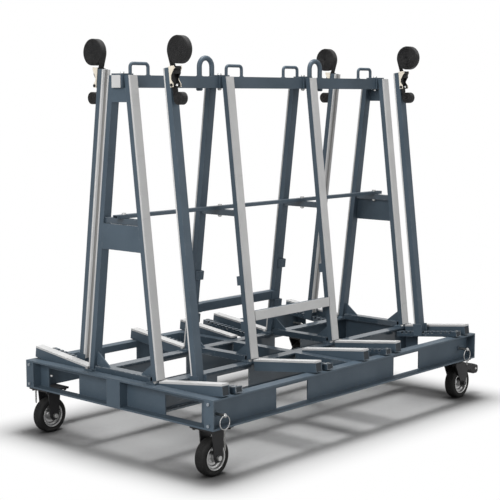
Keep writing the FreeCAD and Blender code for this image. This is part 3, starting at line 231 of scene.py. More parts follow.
class Effects:
    """Shared surface effects, each one node group that several finishes use."""

    # Each noise is given by its detail and roughness, each span by the values that become zero and one.
    edge_span: tuple[float, float] = (0.02, 0.16)
    broken_noise: tuple[float, float] = (4.0, 0.65)
    broken_span: tuple[float, float] = (0.44, 0.66)
    broad_noise: tuple[float, float] = (5.0, 0.6)
    broad_span: tuple[float, float] = (0.3, 0.7)
    fine_noise: tuple[float, float] = (2.0, 0.5)
    fine_scale: float = 70.0
    upward_span: tuple[float, float] = (0.25, 0.95)
    patch_noise: tuple[float, float] = (6.0, 0.7)
    patch_span: tuple[float, float] = (0.35, 0.75)
    scuff_turn: tuple[float, float, float] = (0.4, 0.2, 0.7)
    scuff_stretch: tuple[float, float, float] = (0.12, 1.0, 1.0)
    scuff_noise: tuple[float, float] = (3.0, 0.7)
    scuff_span: tuple[float, float] = (0.63, 0.72)
    rib_share: float = 0.5

    def __init__(self) -> None:
        """Builds every group once."""
        self.wear = make_group("edge_wear", {"Radius": 0.004, "Breakup": 60.0, "Amount": 0.5}, ("Mask",),
                               self.wear_nodes)
        self.mottle = make_group("mottle", {"Scale": 6.0}, ("Broad", "Fine"), self.mottle_nodes)
        self.dust = make_group("dust", {"Scale": 9.0, "Amount": 0.4}, ("Mask",), self.dust_nodes)
        self.scratch = make_group("scratches", {"Scale": 40.0, "Amount": 0.5}, ("Mask",), self.scratch_nodes)
        self.weave = make_group("webbing_weave", {"Across": 22.0, "Along": 900.0}, ("Height", "Shade"),
                                self.weave_nodes)

    def wear_nodes(self, tree: NodeTree, inputs: dict) -> dict:
        """Paint thinned along edges, broken up by noise; on the slate and deck paints the same mask also paints
        a highlight along the edges.

        Args:
            tree: Tree of the group.
            inputs: The group's input sockets by name.

        Returns:
            The group's output sockets by name.
        """
        bevel = tree.add("Bevel", {"Radius": inputs["Radius"]}, samples=BEVEL_SAMPLES).outputs[0]
        dot = tree.vector("DOT_PRODUCT", bevel, tree.add("NewGeometry").outputs["Normal"], "Value")
        edge = tree.remap(tree.math("SUBTRACT", 1.0, dot), *self.edge_span)
        flecks = tree.noise(tree.place(), inputs["Breakup"], *self.broken_noise)
        broken = tree.remap(flecks, *self.broken_span)
        return {"Mask": tree.math("MULTIPLY", tree.math("MULTIPLY", edge, broken), inputs["Amount"], True)}

    def mottle_nodes(self, tree: NodeTree, inputs: dict) -> dict:
        """Slow and fine unevenness of a coated or moulded surface.

        Args:
            tree: Tree of the group.
            inputs: The group's input sockets by name.

        Returns:
            The group's output sockets by name.
        """
        place = tree.place()
        broad = tree.remap(tree.noise(place, inputs["Scale"], *self.broad_noise), *self.broad_span)
        finer = tree.math("MULTIPLY", inputs["Scale"], self.fine_scale)
        return {"Broad": broad, "Fine": tree.noise(place, finer, *self.fine_noise)}

    def dust_nodes(self, tree: NodeTree, inputs: dict) -> dict:
        """Pale dust that settles on surfaces facing up.

        Args:
            tree: Tree of the group.
            inputs: The group's input sockets by name.

        Returns:
            The group's output sockets by name.
        """
        facing = tree.remap(tree.part(tree.add("NewGeometry").outputs["Normal"], 2), *self.upward_span)
        patches = tree.remap(tree.noise(tree.place(), inputs["Scale"], *self.patch_noise), *self.patch_span)
        return {"Mask": tree.math("MULTIPLY", tree.math("MULTIPLY", facing, patches), inputs["Amount"], True)}

    def scratch_nodes(self, tree: NodeTree, inputs: dict) -> dict:
        """Thin scuffs, drawn out in one direction.

        Args:
            tree: Tree of the group.
            inputs: The group's input sockets by name.

        Returns:
            The group's output sockets by name.
        """
        drawn = tree.add("Mapping", {"Vector": tree.place(), "Rotation": self.scuff_turn,
                                     "Scale": self.scuff_stretch}).outputs[0]
        thin = tree.remap(tree.noise(drawn, inputs["Scale"], *self.scuff_noise), *self.scuff_span)
        return {"Mask": tree.math("MULTIPLY", thin, inputs["Amount"], True)}

    def weave_nodes(self, tree: NodeTree, inputs: dict) -> dict:
        """Ribs across the webbing and yarns along it, in the strap's own UV.

        Args:
            tree: Tree of the group.
            inputs: The group's input sockets by name.

        Returns:
            The group's output sockets by name.
        """
        spot = tree.add("SeparateXYZ", {0: tree.add("TexCoord").outputs["UV"]}).outputs
        ribs = tree.math("MULTIPLY", inputs["Across"], 2 * math.pi)
        across = tree.math("SINE", tree.math("MULTIPLY", spot[0], ribs))
        along = tree.math("SINE", tree.math("MULTIPLY", spot[1], inputs["Along"]))
        height = tree.math("ADD", tree.math("MULTIPLY", across, along),
                           tree.math("MULTIPLY", across, self.rib_share))
        crest = 1.0 + self.rib_share
        return {"Height": tree.remap(height, -crest, crest), "Shade": tree.remap(along, -1.0, 1.0)}


@dataclass(frozen=True)
class ShadeStripe:
    """Darker lines painted along a piece as shade, placed by one coordinate of its object space."""

    axis: int
    middle: float
    half: float
    colour: Colour
    soft_share: float = 0.2

    def mask(self, tree: NodeTree) -> bpy.types.NodeSocket:
        """Builds the mask of the painted shade lines.

        Args:
            tree: Tree of the material.

        Returns:
            One inside the lines, which lie at the same distance on both sides of zero, and zero elsewhere.
        """
        off = tree.math("SUBTRACT", tree.math("ABSOLUTE", tree.part(tree.place(), self.axis)), self.middle)
        soft = self.half * self.soft_share
        return tree.remap(tree.math("ABSOLUTE", off), self.half - soft, self.half + soft, 1.0, 0.0)


@dataclass(frozen=True)
class Finish:
    """One finish with the numbers that shape its material."""

    name: str
    colour: Colour
    shade: Colour
    roughness: float
    metallic: float = 0.0
    worn: Colour = (0.3, 0.32, 0.34)
    wear: float = 0.0
    wear_metal: float = 0.0
    dust: float = 0.0
    scuffs: float = 0.0
    scale: float = 6.0
    grain: float = 0.1
    edge_radius: float = 0.0015
    coat: float = 0.0
    specular: float = 0.5
    # Groove: a line painted darker along a groove of the piece, as the shade in it.
    groove: ShadeStripe | None = None
    # How far the roughness spreads about its mean, and what scuffs and dust add.
    duller: float = 0.08
    smoother: float = 0.06
    scuff_rough: float = 0.15
    scuff_depth: float = 0.4
    dust_rough: float = 0.3

    def material(self, effects: Effects) -> bpy.types.Material:
        """Builds the material.

        Args:
            effects: The shared node groups.

        Returns:
            A node material with colour, roughness and relief that vary over the surface.
        """
        made, tree, shader = blank_material(self.name)
        mottle = tree.add("Group", {"Scale": self.scale}, node_tree=effects.mottle).outputs
        colour = tree.mix(mottle["Broad"], self.shade, self.colour)
        rough = tree.remap(mottle["Broad"], 0.0, 1.0, self.roughness + self.duller,
                           self.roughness - self.smoother)
        height = mottle["Fine"]
        # The groove's floor is painted darker: painted shade.
        if self.groove:
            colour = tree.mix(self.groove.mask(tree), colour, self.groove.colour)
        if self.scuffs:
            mask = tree.add("Group", {"Amount": self.scuffs}, node_tree=effects.scratch).outputs["Mask"]
            colour = tree.mix(mask, colour, self.worn)
            rough = tree.math("ADD", rough, tree.math("MULTIPLY", mask, self.scuff_rough), True)
            height = tree.math("SUBTRACT", height, tree.math("MULTIPLY", mask, self.scuff_depth))
        if self.dust:
            mask = tree.add("Group", {"Amount": self.dust}, node_tree=effects.dust).outputs["Mask"]
            colour = tree.mix(mask, colour, DUST_COLOUR)
            rough = tree.math("ADD", rough, tree.math("MULTIPLY", mask, self.dust_rough), True)
        shader.inputs["Metallic"].default_value = self.metallic
        # Edges take the worn colour: wear, and on the slate and deck paints also a painted edge highlight.
        if self.wear:
            mask = tree.add("Group", {"Amount": self.wear}, node_tree=effects.wear).outputs["Mask"]
            colour = tree.mix(mask, colour, self.worn)
            if self.wear_metal:
                tree.feed(shader, "Metallic", tree.math("MULTIPLY", mask, self.wear_metal, True))
        tree.feed(shader, "Base Color", colour)
        tree.feed(shader, "Roughness", rough)
        tree.feed(shader, "Normal", tree.bump(self.grain, height, self.edge_radius))
        shader.inputs["Coat Weight"].default_value = self.coat
        shader.inputs["Specular IOR Level"].default_value = self.specular
        return made


@dataclass(frozen=True)
class Webbing:
    """Woven strap in its own UV: yarns along, ribs across, rubbed paler on its crests."""

    name: str = "black_webbing"
    colour: Colour = (0.012, 0.012, 0.013)
    rib: Colour = (0.005, 0.005, 0.0055)
    pale: Colour = (0.040, 0.039, 0.038)
    rubbed: float = 0.45
    roughness: float = 0.78
    duller: float = 0.08
    smoother: float = 0.1
    mottle_scale: float = 18.0
    relief: float = 0.0006
    strength: float = 0.6
    sheen: float = 0.1
    specular: float = 0.2

    def material(self, effects: Effects) -> bpy.types.Material:
        """Builds the woven material.

        Args:
            effects: The shared node groups.

        Returns:
            A node material for straps.
        """
        made, tree, shader = blank_material(self.name)
        weave = tree.add("Group", node_tree=effects.weave).outputs
        mottle = tree.add("Group", {"Scale": self.mottle_scale}, node_tree=effects.mottle).outputs
        yarn = tree.mix(weave["Height"], self.rib, self.colour)
        crests = tree.math("MULTIPLY", weave["Height"], self.rubbed)
        rubbed = tree.math("MULTIPLY", mottle["Broad"], crests)
        tree.feed(shader, "Base Color", tree.mix(rubbed, yarn, self.pale))
        tree.feed(shader, "Roughness", tree.remap(weave["Shade"], 0.0, 1.0, self.roughness + self.duller,
                                                  self.roughness - self.smoother))
        yarns = {"Strength": self.strength, "Distance": self.relief, "Height": weave["Height"]}
        tree.feed(shader, "Normal", tree.add("Bump", yarns).outputs[0])
        shader.inputs["Sheen Weight"].default_value = self.sheen
        shader.inputs["Specular IOR Level"].default_value = self.specular
        return made


@dataclass(frozen=True)
class Plated:
    """Zinc plating, covered with something duller between two heights."""

    name: str
    covered: Colour
    cover: tuple[float, float]
    cover_metal: float
    bright: Colour = (0.42, 0.42, 0.415)
    dull: Colour = (0.27, 0.27, 0.265)
    metal: float = 0.9
    roughness: float = 0.34
    duller: float = 0.12
    smoother: float = 0.06
    mottle_scale: float = 40.0
    grain: float = 0.15
    edge_radius: float = 0.0008
    wear_radius: float = 0.0015
    wear: float = 0.7
    border: float = 0.0005

    def material(self, effects: Effects) -> bpy.types.Material:
        """Builds the plated material.

        Args:
            effects: The shared node groups.

        Returns:
            A node material that is covered between the two heights and zinc elsewhere.
        """
        made, tree, shader = blank_material(self.name)
        mottle = tree.add("Group", {"Scale": self.mottle_scale}, node_tree=effects.mottle).outputs
        wear = tree.add("Group", {"Radius": self.wear_radius, "Amount": self.wear}, node_tree=effects.wear)
        height = tree.part(tree.place(), 2)
        low, high = self.cover
        above = tree.remap(height, high - self.border, high + self.border)
        below = tree.remap(height, low - self.border, low + self.border, 1.0, 0.0)
        bare = tree.math("MAXIMUM", tree.math("MAXIMUM", above, below), wear.outputs["Mask"])
        zinc = tree.mix(mottle["Broad"], self.dull, self.bright)
        tree.feed(shader, "Base Color", tree.mix(bare, self.covered, zinc))
        tree.feed(shader, "Metallic", tree.remap(bare, 0.0, 1.0, self.cover_metal, self.metal))
        tree.feed(shader, "Roughness", tree.remap(mottle["Broad"], 0.0, 1.0, self.roughness + self.duller,
                                                  self.roughness - self.smoother))
        tree.feed(shader, "Normal", tree.bump(self.grain, mottle["Fine"], self.edge_radius))
        return made


class FinishKit:
    """Every finish on the cart, made once."""

    def __init__(self, effects: Effects) -> None:
        """Builds the materials.

        Args:
            effects: The shared node groups.
        """
        rubbed = (0.30, 0.30, 0.30)
        scuffed_black = (0.07, 0.07, 0.07)
        # Slate paint: its lighter worn edges are partly wear and partly a painted edge highlight.
        self.paint = Finish("slate_paint", (0.062, 0.089, 0.116), (0.047, 0.069, 0.091), 0.50,
                            worn=(0.20, 0.22, 0.24), wear=0.5, wear_metal=0.25, dust=0.05, scuffs=0.10,
                            scale=5.0, grain=0.10, edge_radius=0.002, coat=0.03,
                            specular=0.28).material(effects)
        # Deck paint: its pale worn edges are partly wear and partly a painted highlight on the bars' rounded top
        # edges.
        self.deck_paint = Finish("deck_paint", (0.046, 0.067, 0.089), (0.034, 0.052, 0.070), 0.34,
                                 worn=(0.46, 0.49, 0.52), wear=0.95, wear_metal=0.25, dust=0.05, scuffs=0.16,
                                 scale=5.0, grain=0.10, edge_radius=0.004, coat=0.5,
                                 specular=0.2).material(effects)
        self.rubber = Finish("grey_rubber", (0.52, 0.52, 0.515), (0.46, 0.46, 0.46), 0.72, worn=rubbed,
                             wear=0.35, scuffs=0.22, scale=7.0, grain=0.22).material(effects)
        # Posts' rubber faces: the darker stripe down their groove is painted shade.
        self.grooved_shaded = Finish("grooved_rubber", (0.60, 0.60, 0.595), (0.53, 0.53, 0.53), 0.72, worn=rubbed,
                              wear=0.35, scuffs=0.22, scale=7.0, grain=0.22,
                              groove=ShadeStripe(0, 0.769, 0.0075, (0.30, 0.295, 0.285))).material(effects)
        self.black = Finish("black_coat", (0.011, 0.011, 0.012), (0.007, 0.007, 0.008), 0.42,
                            worn=(0.12, 0.12, 0.12), wear=0.4, wear_metal=0.6, dust=0.05, scuffs=0.12,
                            grain=0.12, specular=0.2).material(effects)
        self.plastic = Finish("black_moulding", (0.014, 0.014, 0.015), (0.009, 0.009, 0.010), 0.5,
                              worn=scuffed_black, wear=0.4, dust=0.06, scuffs=0.2, grain=0.3, scale=12.0,
                              specular=0.2).material(effects)
        # Tube caps: their dark bluish colour is painted shade of the tubes' ends.
        self.plug = Finish("plug_moulding", (0.022, 0.028, 0.034), (0.016, 0.021, 0.026), 0.55,
                           worn=scuffed_black, wear=0.3, dust=0.04, scuffs=0.15, grain=0.2, scale=12.0,
                           specular=0.2).material(effects)
        self.tyre = Finish("tyre_rubber", (0.013, 0.013, 0.013), (0.007, 0.007, 0.007), 0.66,
                           worn=(0.085, 0.082, 0.08), wear=0.3, dust=0.06, scuffs=0.25, scale=14.0,
                           grain=0.35, specular=0.18).material(effects)
        self.rim = Finish("rim_steel", (0.58, 0.58, 0.58), (0.44, 0.44, 0.44), 0.30, 0.95,
                          worn=(0.16, 0.15, 0.14), dust=0.08, scuffs=0.3, scale=16.0,
                          grain=0.15).material(effects)
        self.zinc = Finish("bright_zinc", (0.66, 0.66, 0.65), (0.50, 0.50, 0.50), 0.32, 0.95,
                           worn=(0.25, 0.24, 0.22), scuffs=0.25, scale=40.0, grain=0.15,
                           edge_radius=0.0008).material(effects)
        self.ratchet = Finish("passivated_steel", (0.84, 0.78, 0.67), (0.72, 0.65, 0.54), 0.38, 0.2,
                              worn=(0.34, 0.29, 0.23), scuffs=0.3, scale=30.0, grain=0.15,
                              edge_radius=0.0008).material(effects)
        self.cap = Finish("cap_moulding", (0.56, 0.56, 0.555), (0.50, 0.50, 0.50), 0.5,
                          worn=(0.35, 0.35, 0.35), wear=0.3, scuffs=0.15, scale=20.0,
                          grain=0.25).material(effects)
        self.webbing = Webbing().material(effects)
        self.plated = Plated("plated_bolts", (0.22, 0.25, 0.28), (0.19, 0.318), 0.3).material(effects)
        self.pin = Plated("pin_steel", (0.20, 0.20, 0.195), (-0.1, 0.1955), 0.8).material(effects)


def dress(material: bpy.types.Material, *nodes: str) -> None:
    """Gives nodes of the frame their finish.

    Args:
        material: Finish of the nodes.
        nodes: Names of the nodes.
    """
    for node in nodes:
        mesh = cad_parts[node].data
        mesh.materials.clear()
        mesh.materials.append(material)
        LOG.info("dressed %s with %s", node, material.name)


def add_mesh(name: str, builder: bmesh.types.BMesh, material: bpy.types.Material, body: str) -> bpy.types.Object:
    """Turns a finished bmesh into an object that rides on a body.

    Args:
        name: Name of the piece.
        builder: Mesh data, freed here.
        material: Finish of the piece.
        body: Body of the frame that the piece rides on.

    Returns:
        The new object.
    """
    mesh = bpy.data.meshes.new(name)
    builder.to_mesh(mesh)
    builder.free()
    mesh.materials.append(material)
    piece = bpy.data.objects.new(name, mesh)
    bpy.context.scene.collection.objects.link(piece)
    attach(piece, body)
    LOG.info("built %s: %d faces", name, len(mesh.polygons))
    return piece


def mirrored(outline: Pairs) -> list[tuple[float, float]]:
    """Outline continued by its mirror image, with the first coordinate turned round."""
    return [*outline, *((-across, out) for across, out in reversed(outline))]


class MeshPen:
    """Draws small solid forms into one mesh."""

    def __init__(self) -> None:
        """Starts an empty mesh."""
        self.mesh = bmesh.new()

    def skin(self, rings: list[list[bmesh.types.BMVert]], looped: bool = False, smooth: bool = True) -> None:
        """Joins rings of points with faces and closes both ends.

        Args:
            rings: Rings with the same number of points each.
            looped: Whether the last ring joins the first one.
            smooth: Whether the faces are shaded smooth.
        """
        count = len(rings[0])
        for low, high in zip(rings, rings[1:] + rings[:1] if looped else rings[1:]):
            for place in range(count):
                after = (place + 1) % count
                face = self.mesh.faces.new((low[place], low[after], high[after], high[place]))
                face.smooth = smooth
        if not looped:
            self.mesh.faces.new(rings[0])
            self.mesh.faces.new(rings[-1])

    def loft(self, sections: list[list[Vector]]) -> None:
        """Adds a flat-faced form through sections that have the same number of points each."""
        self.skin([[self.mesh.verts.new(point) for point in section] for section in sections], False, False)

    def circle(self, at: Vector, turn: Matrix, radius: float, height: float,
               steps: int) -> list[bmesh.types.BMVert]:
        """Adds the points of one ring across an axis.

        Args:
            at: Point on the axis at height zero.
            turn: Rotation that brings Z to the axis.
            radius: Radius of the ring.
            height: Place of the ring along the axis.
            steps: Number of points.

        Returns:
            The points in order.
        """
        ring = []
        for step in range(steps):
            angle = 2 * math.pi * step / steps
            spot = Vector((radius * math.cos(angle), radius * math.sin(angle), height))
            ring.append(self.mesh.verts.new(at + turn @ spot))
        return ring

    def section(self, at: Vector, turn: Matrix, angle: float, outline: Pairs) -> list[bmesh.types.BMVert]:
        """Adds the points of one section of a form that runs round an axis.

        Args:
            at: Point on the axis at height zero.
            turn: Rotation that brings Z to the axis.
            angle: Place of the section round the axis.
            outline: Pairs of radius and height along the axis.

        Returns:
            The points in order.
        """
        out = Vector((math.cos(angle), math.sin(angle), 0.0))
        return [self.mesh.verts.new(at + turn @ (out * radius + Z_AXIS * height))
                for radius, height in outline]

    def turned(self, profile: Pairs, at: Vector, axis: Vector, steps: int = 24, smooth: bool = True) -> None:
        """Adds a form turned about an axis.

        Args:
            profile: Pairs of radius and height along the axis.
            at: Point on the axis at height zero.
            axis: Direction of the axis.
            steps: Number of sides; six gives a hexagon.
            smooth: Whether the faces are shaded smooth.
        """
        turn = axis.to_track_quat("Z", "Y").to_matrix()
        self.skin([self.circle(at, turn, radius, height, steps) for radius, height in profile], False, smooth)

    def hoop(self, profile: Pairs, at: Vector, axis: Vector, steps: int = 72) -> None:
        """Adds a closed outline turned into a ring.

        Args:
            profile: Closed outline in pairs of radius and height along the axis.
            at: Point on the axis at height zero.
            axis: Direction of the axis.
            steps: Number of sides of the ring.
        """
        turn = axis.to_track_quat("Z", "Y").to_matrix()
        rings = [self.section(at, turn, 2 * math.pi * step / steps, profile) for step in range(steps)]
        self.skin(rings, True, False)

    def bead(self, start: Vector, stop: Vector, radius: float = 0.0022, ripple: float = 0.004) -> None:
        """Adds a straight weld bead with its run of small waves.

        Args:
            start: First end of the seam.
            stop: Last end of the seam.
            radius: Mean radius of the bead.
            ripple: Length of one wave.
        """
        way = stop - start
        waves = way.length / ripple
        rings_per_wave, least_rings = 4, 6
        blunt, growth, swell = 0.45, 5.0, 0.16
        count = max(least_rings, int(rings_per_wave * waves))
        turn = way.to_track_quat("Z", "Y").to_matrix()
        rings = []
        for index in range(count + 1):
            part = index / count
            taper = min(1.0, blunt + growth * min(part, 1.0 - part))
            wide = radius * taper * (1.0 + swell * math.sin(2 * math.pi * part * waves))
            rings.append(self.circle(start + way * part, turn, wide, 0.0, BEAD_SIDES))
        self.skin(rings)

    def ring_bead(self, at: Vector, reach: float, radius: float = 0.0022, swell: float = 0.16,
                  axis: Vector = Z_AXIS) -> None:
        """Adds a bead that runs in a ring, such as the weld round a bar.

        Args:
            at: Middle of the ring.
            reach: Radius of the ring.
            radius: Mean radius of the bead.
            swell: Share of the radius by which the bead's small waves swell.
            axis: Direction that the ring turns about.
        """
        waves, count = 12, 48
        turn = axis.to_track_quat("Z", "Y").to_matrix()
        rings = []
        for index in range(count):
            around = 2 * math.pi * index / count
            wide = radius * (1.0 + swell * math.sin(waves * around))
            angles = [2 * math.pi * step / BEAD_SIDES for step in range(BEAD_SIDES)]
            outline = [(reach + wide * math.cos(angle), wide * math.sin(angle)) for angle in angles]
            rings.append(self.section(at, turn, around, outline))
        self.skin(rings, True)

    def done(self) -> bmesh.types.BMesh:
        """Turns all faces outward and hands the mesh over."""
        bmesh.ops.recalc_face_normals(self.mesh, faces=self.mesh.faces)
        return self.mesh


@dataclass
class TiltedFrame:
    """Frame of the slanted pieces: v runs inward along the arms, w up along the legs."""

    side: Side
    seat_y: float = 0.512
    deck: float = 0.317

    def point(self, x: float, v: float, w: float) -> Vector:
        """Finds the place in the cart's frame of a point of the tilted frame.

        Args:
            x: Place along the cart.
            v: Distance inward along the arms.
            w: Distance up along the legs.

        Returns:
            The point in the cart's frame.
        """
        y = self.seat_y - v * math.cos(LEAN) - w * math.sin(LEAN)
        z = self.deck - v * math.sin(LEAN) + w * math.cos(LEAN)
        return Vector((x, -self.side.value * y, z))

    def outward(self) -> Vector:
        """Direction along the arms to the open side."""
        return (self.point(0.0, -1.0, 0.0) - self.point(0.0, 0.0, 0.0)).normalized()


@dataclass
class Ribbon:
    """Flat strap that leaves a roll, runs straight and wraps a bar, drawn in the v-w plane."""

    roll: tuple[float, float]
    radius: float
    core: float
    bar: tuple[float, float]
    bar_radius: float
    wrap: float
    pitch: float = 0.0032
    width: float = 0.030
    thick: float = 0.0022
    edge: float = 0.0006
    flat_share: float = 0.4
    step: float = 0.0035
    run_spans: int = 10
    least_spans: int = 8
    fill_sides: int = 40
    fill_turns: float = 1.5
    fill_inset: float = 0.004
    drifts: Triples = ((0.0005, 9.0, 0.0), (0.0003, 31.0, 1.0))

    def line(self) -> list[tuple[Vector, Vector]]:
        """Draws the middle line of the strap.

        Returns:
            Points with the unit direction of the run at each of them.
        """
        roll, bar = Vector(self.roll), Vector(self.bar)
        reach = bar - roll
        turn = 1.0 if reach.y > 0 else -1.0
        lead = math.acos((self.radius - self.bar_radius) / reach.length)
        angle = math.atan2(reach.y, reach.x) - turn * lead
        normal = Vector((math.cos(angle), math.sin(angle)))
        arcs = []
        middle, radius, facing = roll.copy(), self.radius, 1
        while radius > self.core:
            stop = angle if facing > 0 else angle + math.pi
            arcs.append((middle.copy(), radius, stop - turn * math.pi, turn * math.pi))
            middle -= normal * (facing * self.pitch / 2)
            radius -= self.pitch / 2
            facing = -facing
        found: list[tuple[Vector, Vector]] = []
        for arc in reversed(arcs):
            found += self.arc(*arc)
        start, stop = roll + normal * self.radius, bar + normal * self.bar_radius
        way = (stop - start).normalized()
        found += [(start.lerp(stop, index / self.run_spans), way) for index in range(self.run_spans)]
        return found + self.arc(bar, self.bar_radius, angle, turn * self.wrap)

    def arc(self, middle: Vector, radius: float, begin: float, swept: float) -> list[tuple[Vector, Vector]]:
        """Draws one arc of the line.

        Args:
            middle: Centre of the arc.
            radius: Radius of the arc.
            begin: Angle at which the arc begins.
            swept: Angle that the arc sweeps, with its sign.

        Returns:
            Points with the unit direction of the run at each of them, without the last one.
        """
        count = max(self.least_spans, int(radius * abs(swept) / self.step))
        found = []
        for index in range(count):
            turn = begin + swept * index / count
            out = Vector((math.cos(turn), math.sin(turn)))
            way = Vector((-out.y, out.x)) * math.copysign(1.0, swept)
            found.append((middle + out * radius, way))
        return found

    def outline(self) -> list[tuple[float, float]]:
        """Draws the strap's cross-section.

        Returns:
            Pairs of the distance across the strap and off its middle line.
        """
        half, thin = self.width / 2, self.thick / 2
        flat = half * self.flat_share
        over = [(-half + self.edge, thin), (-flat, thin), (flat, thin), (half - self.edge, thin)]
        return [(-half, 0.0), *over, (half, 0.0), *((across, -up) for across, up in reversed(over))]

    def sweep(self, builder: bmesh.types.BMesh, uv: bmesh.types.BMLayerItem, x: float,
              tilted: TiltedFrame) -> None:
        """Adds the strap's surface to a mesh.

        Args:
            builder: Mesh to add to.
            uv: UV layer; u runs across the strap and v along it, in metres.
            x: Place of the strap's middle along the cart.
            tilted: Frame of the strap's side.
        """
        outline = self.outline()
        run, last = 0.0, None
        rings, runs = [], []
        for spot, way in self.line():
            if last is not None:
                run += (spot - last).length
            last = spot
            off = Vector((-way.y, way.x))
            middle = x + sum(size * math.sin(run * rate + start) for size, rate, start in self.drifts)
            rings.append([builder.verts.new(tilted.point(middle + across, *(spot + off * up)))
                          for across, up in outline])
            runs.append(run)
        count = len(outline)
        for index in range(len(rings) - 1):
            for place in range(count):
                after = (place + 1) % count
                face = builder.faces.new((rings[index][place], rings[index][after],
                                          rings[index + 1][after], rings[index + 1][place]))
                face.smooth = True
                marks = ((place, index), (after, index), (after, index + 1), (place, index + 1))
                for loop, (which, level) in zip(face.loops, marks):
                    loop[uv].uv = (outline[which][0] / self.width + 0.5, runs[level])
        for ring in (rings[0], rings[-1]):
            builder.faces.new(ring)
        self.fill(builder, x, tilted)

    def fill(self, builder: bmesh.types.BMesh, x: float, tilted: TiltedFrame) -> None:
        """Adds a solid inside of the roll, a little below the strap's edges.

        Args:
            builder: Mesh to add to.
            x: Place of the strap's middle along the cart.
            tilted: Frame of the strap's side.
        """
        reach = self.radius - self.fill_turns * self.pitch - self.thick
        deep = self.width / 2 - self.fill_inset
        rings = []
        for across in (-deep, deep):
            ring = []
            for step in range(self.fill_sides):
                turn = 2 * math.pi * step / self.fill_sides
                spot = Vector(self.roll) + Vector((math.cos(turn), math.sin(turn))) * reach
                ring.append(builder.verts.new(tilted.point(x + across, *spot)))
            rings.append(ring)
            builder.faces.new(ring)
        for place in range(self.fill_sides):
            after = (place + 1) % self.fill_sides
            builder.faces.new((rings[0][place], rings[0][after], rings[1][after], rings[1][place]))


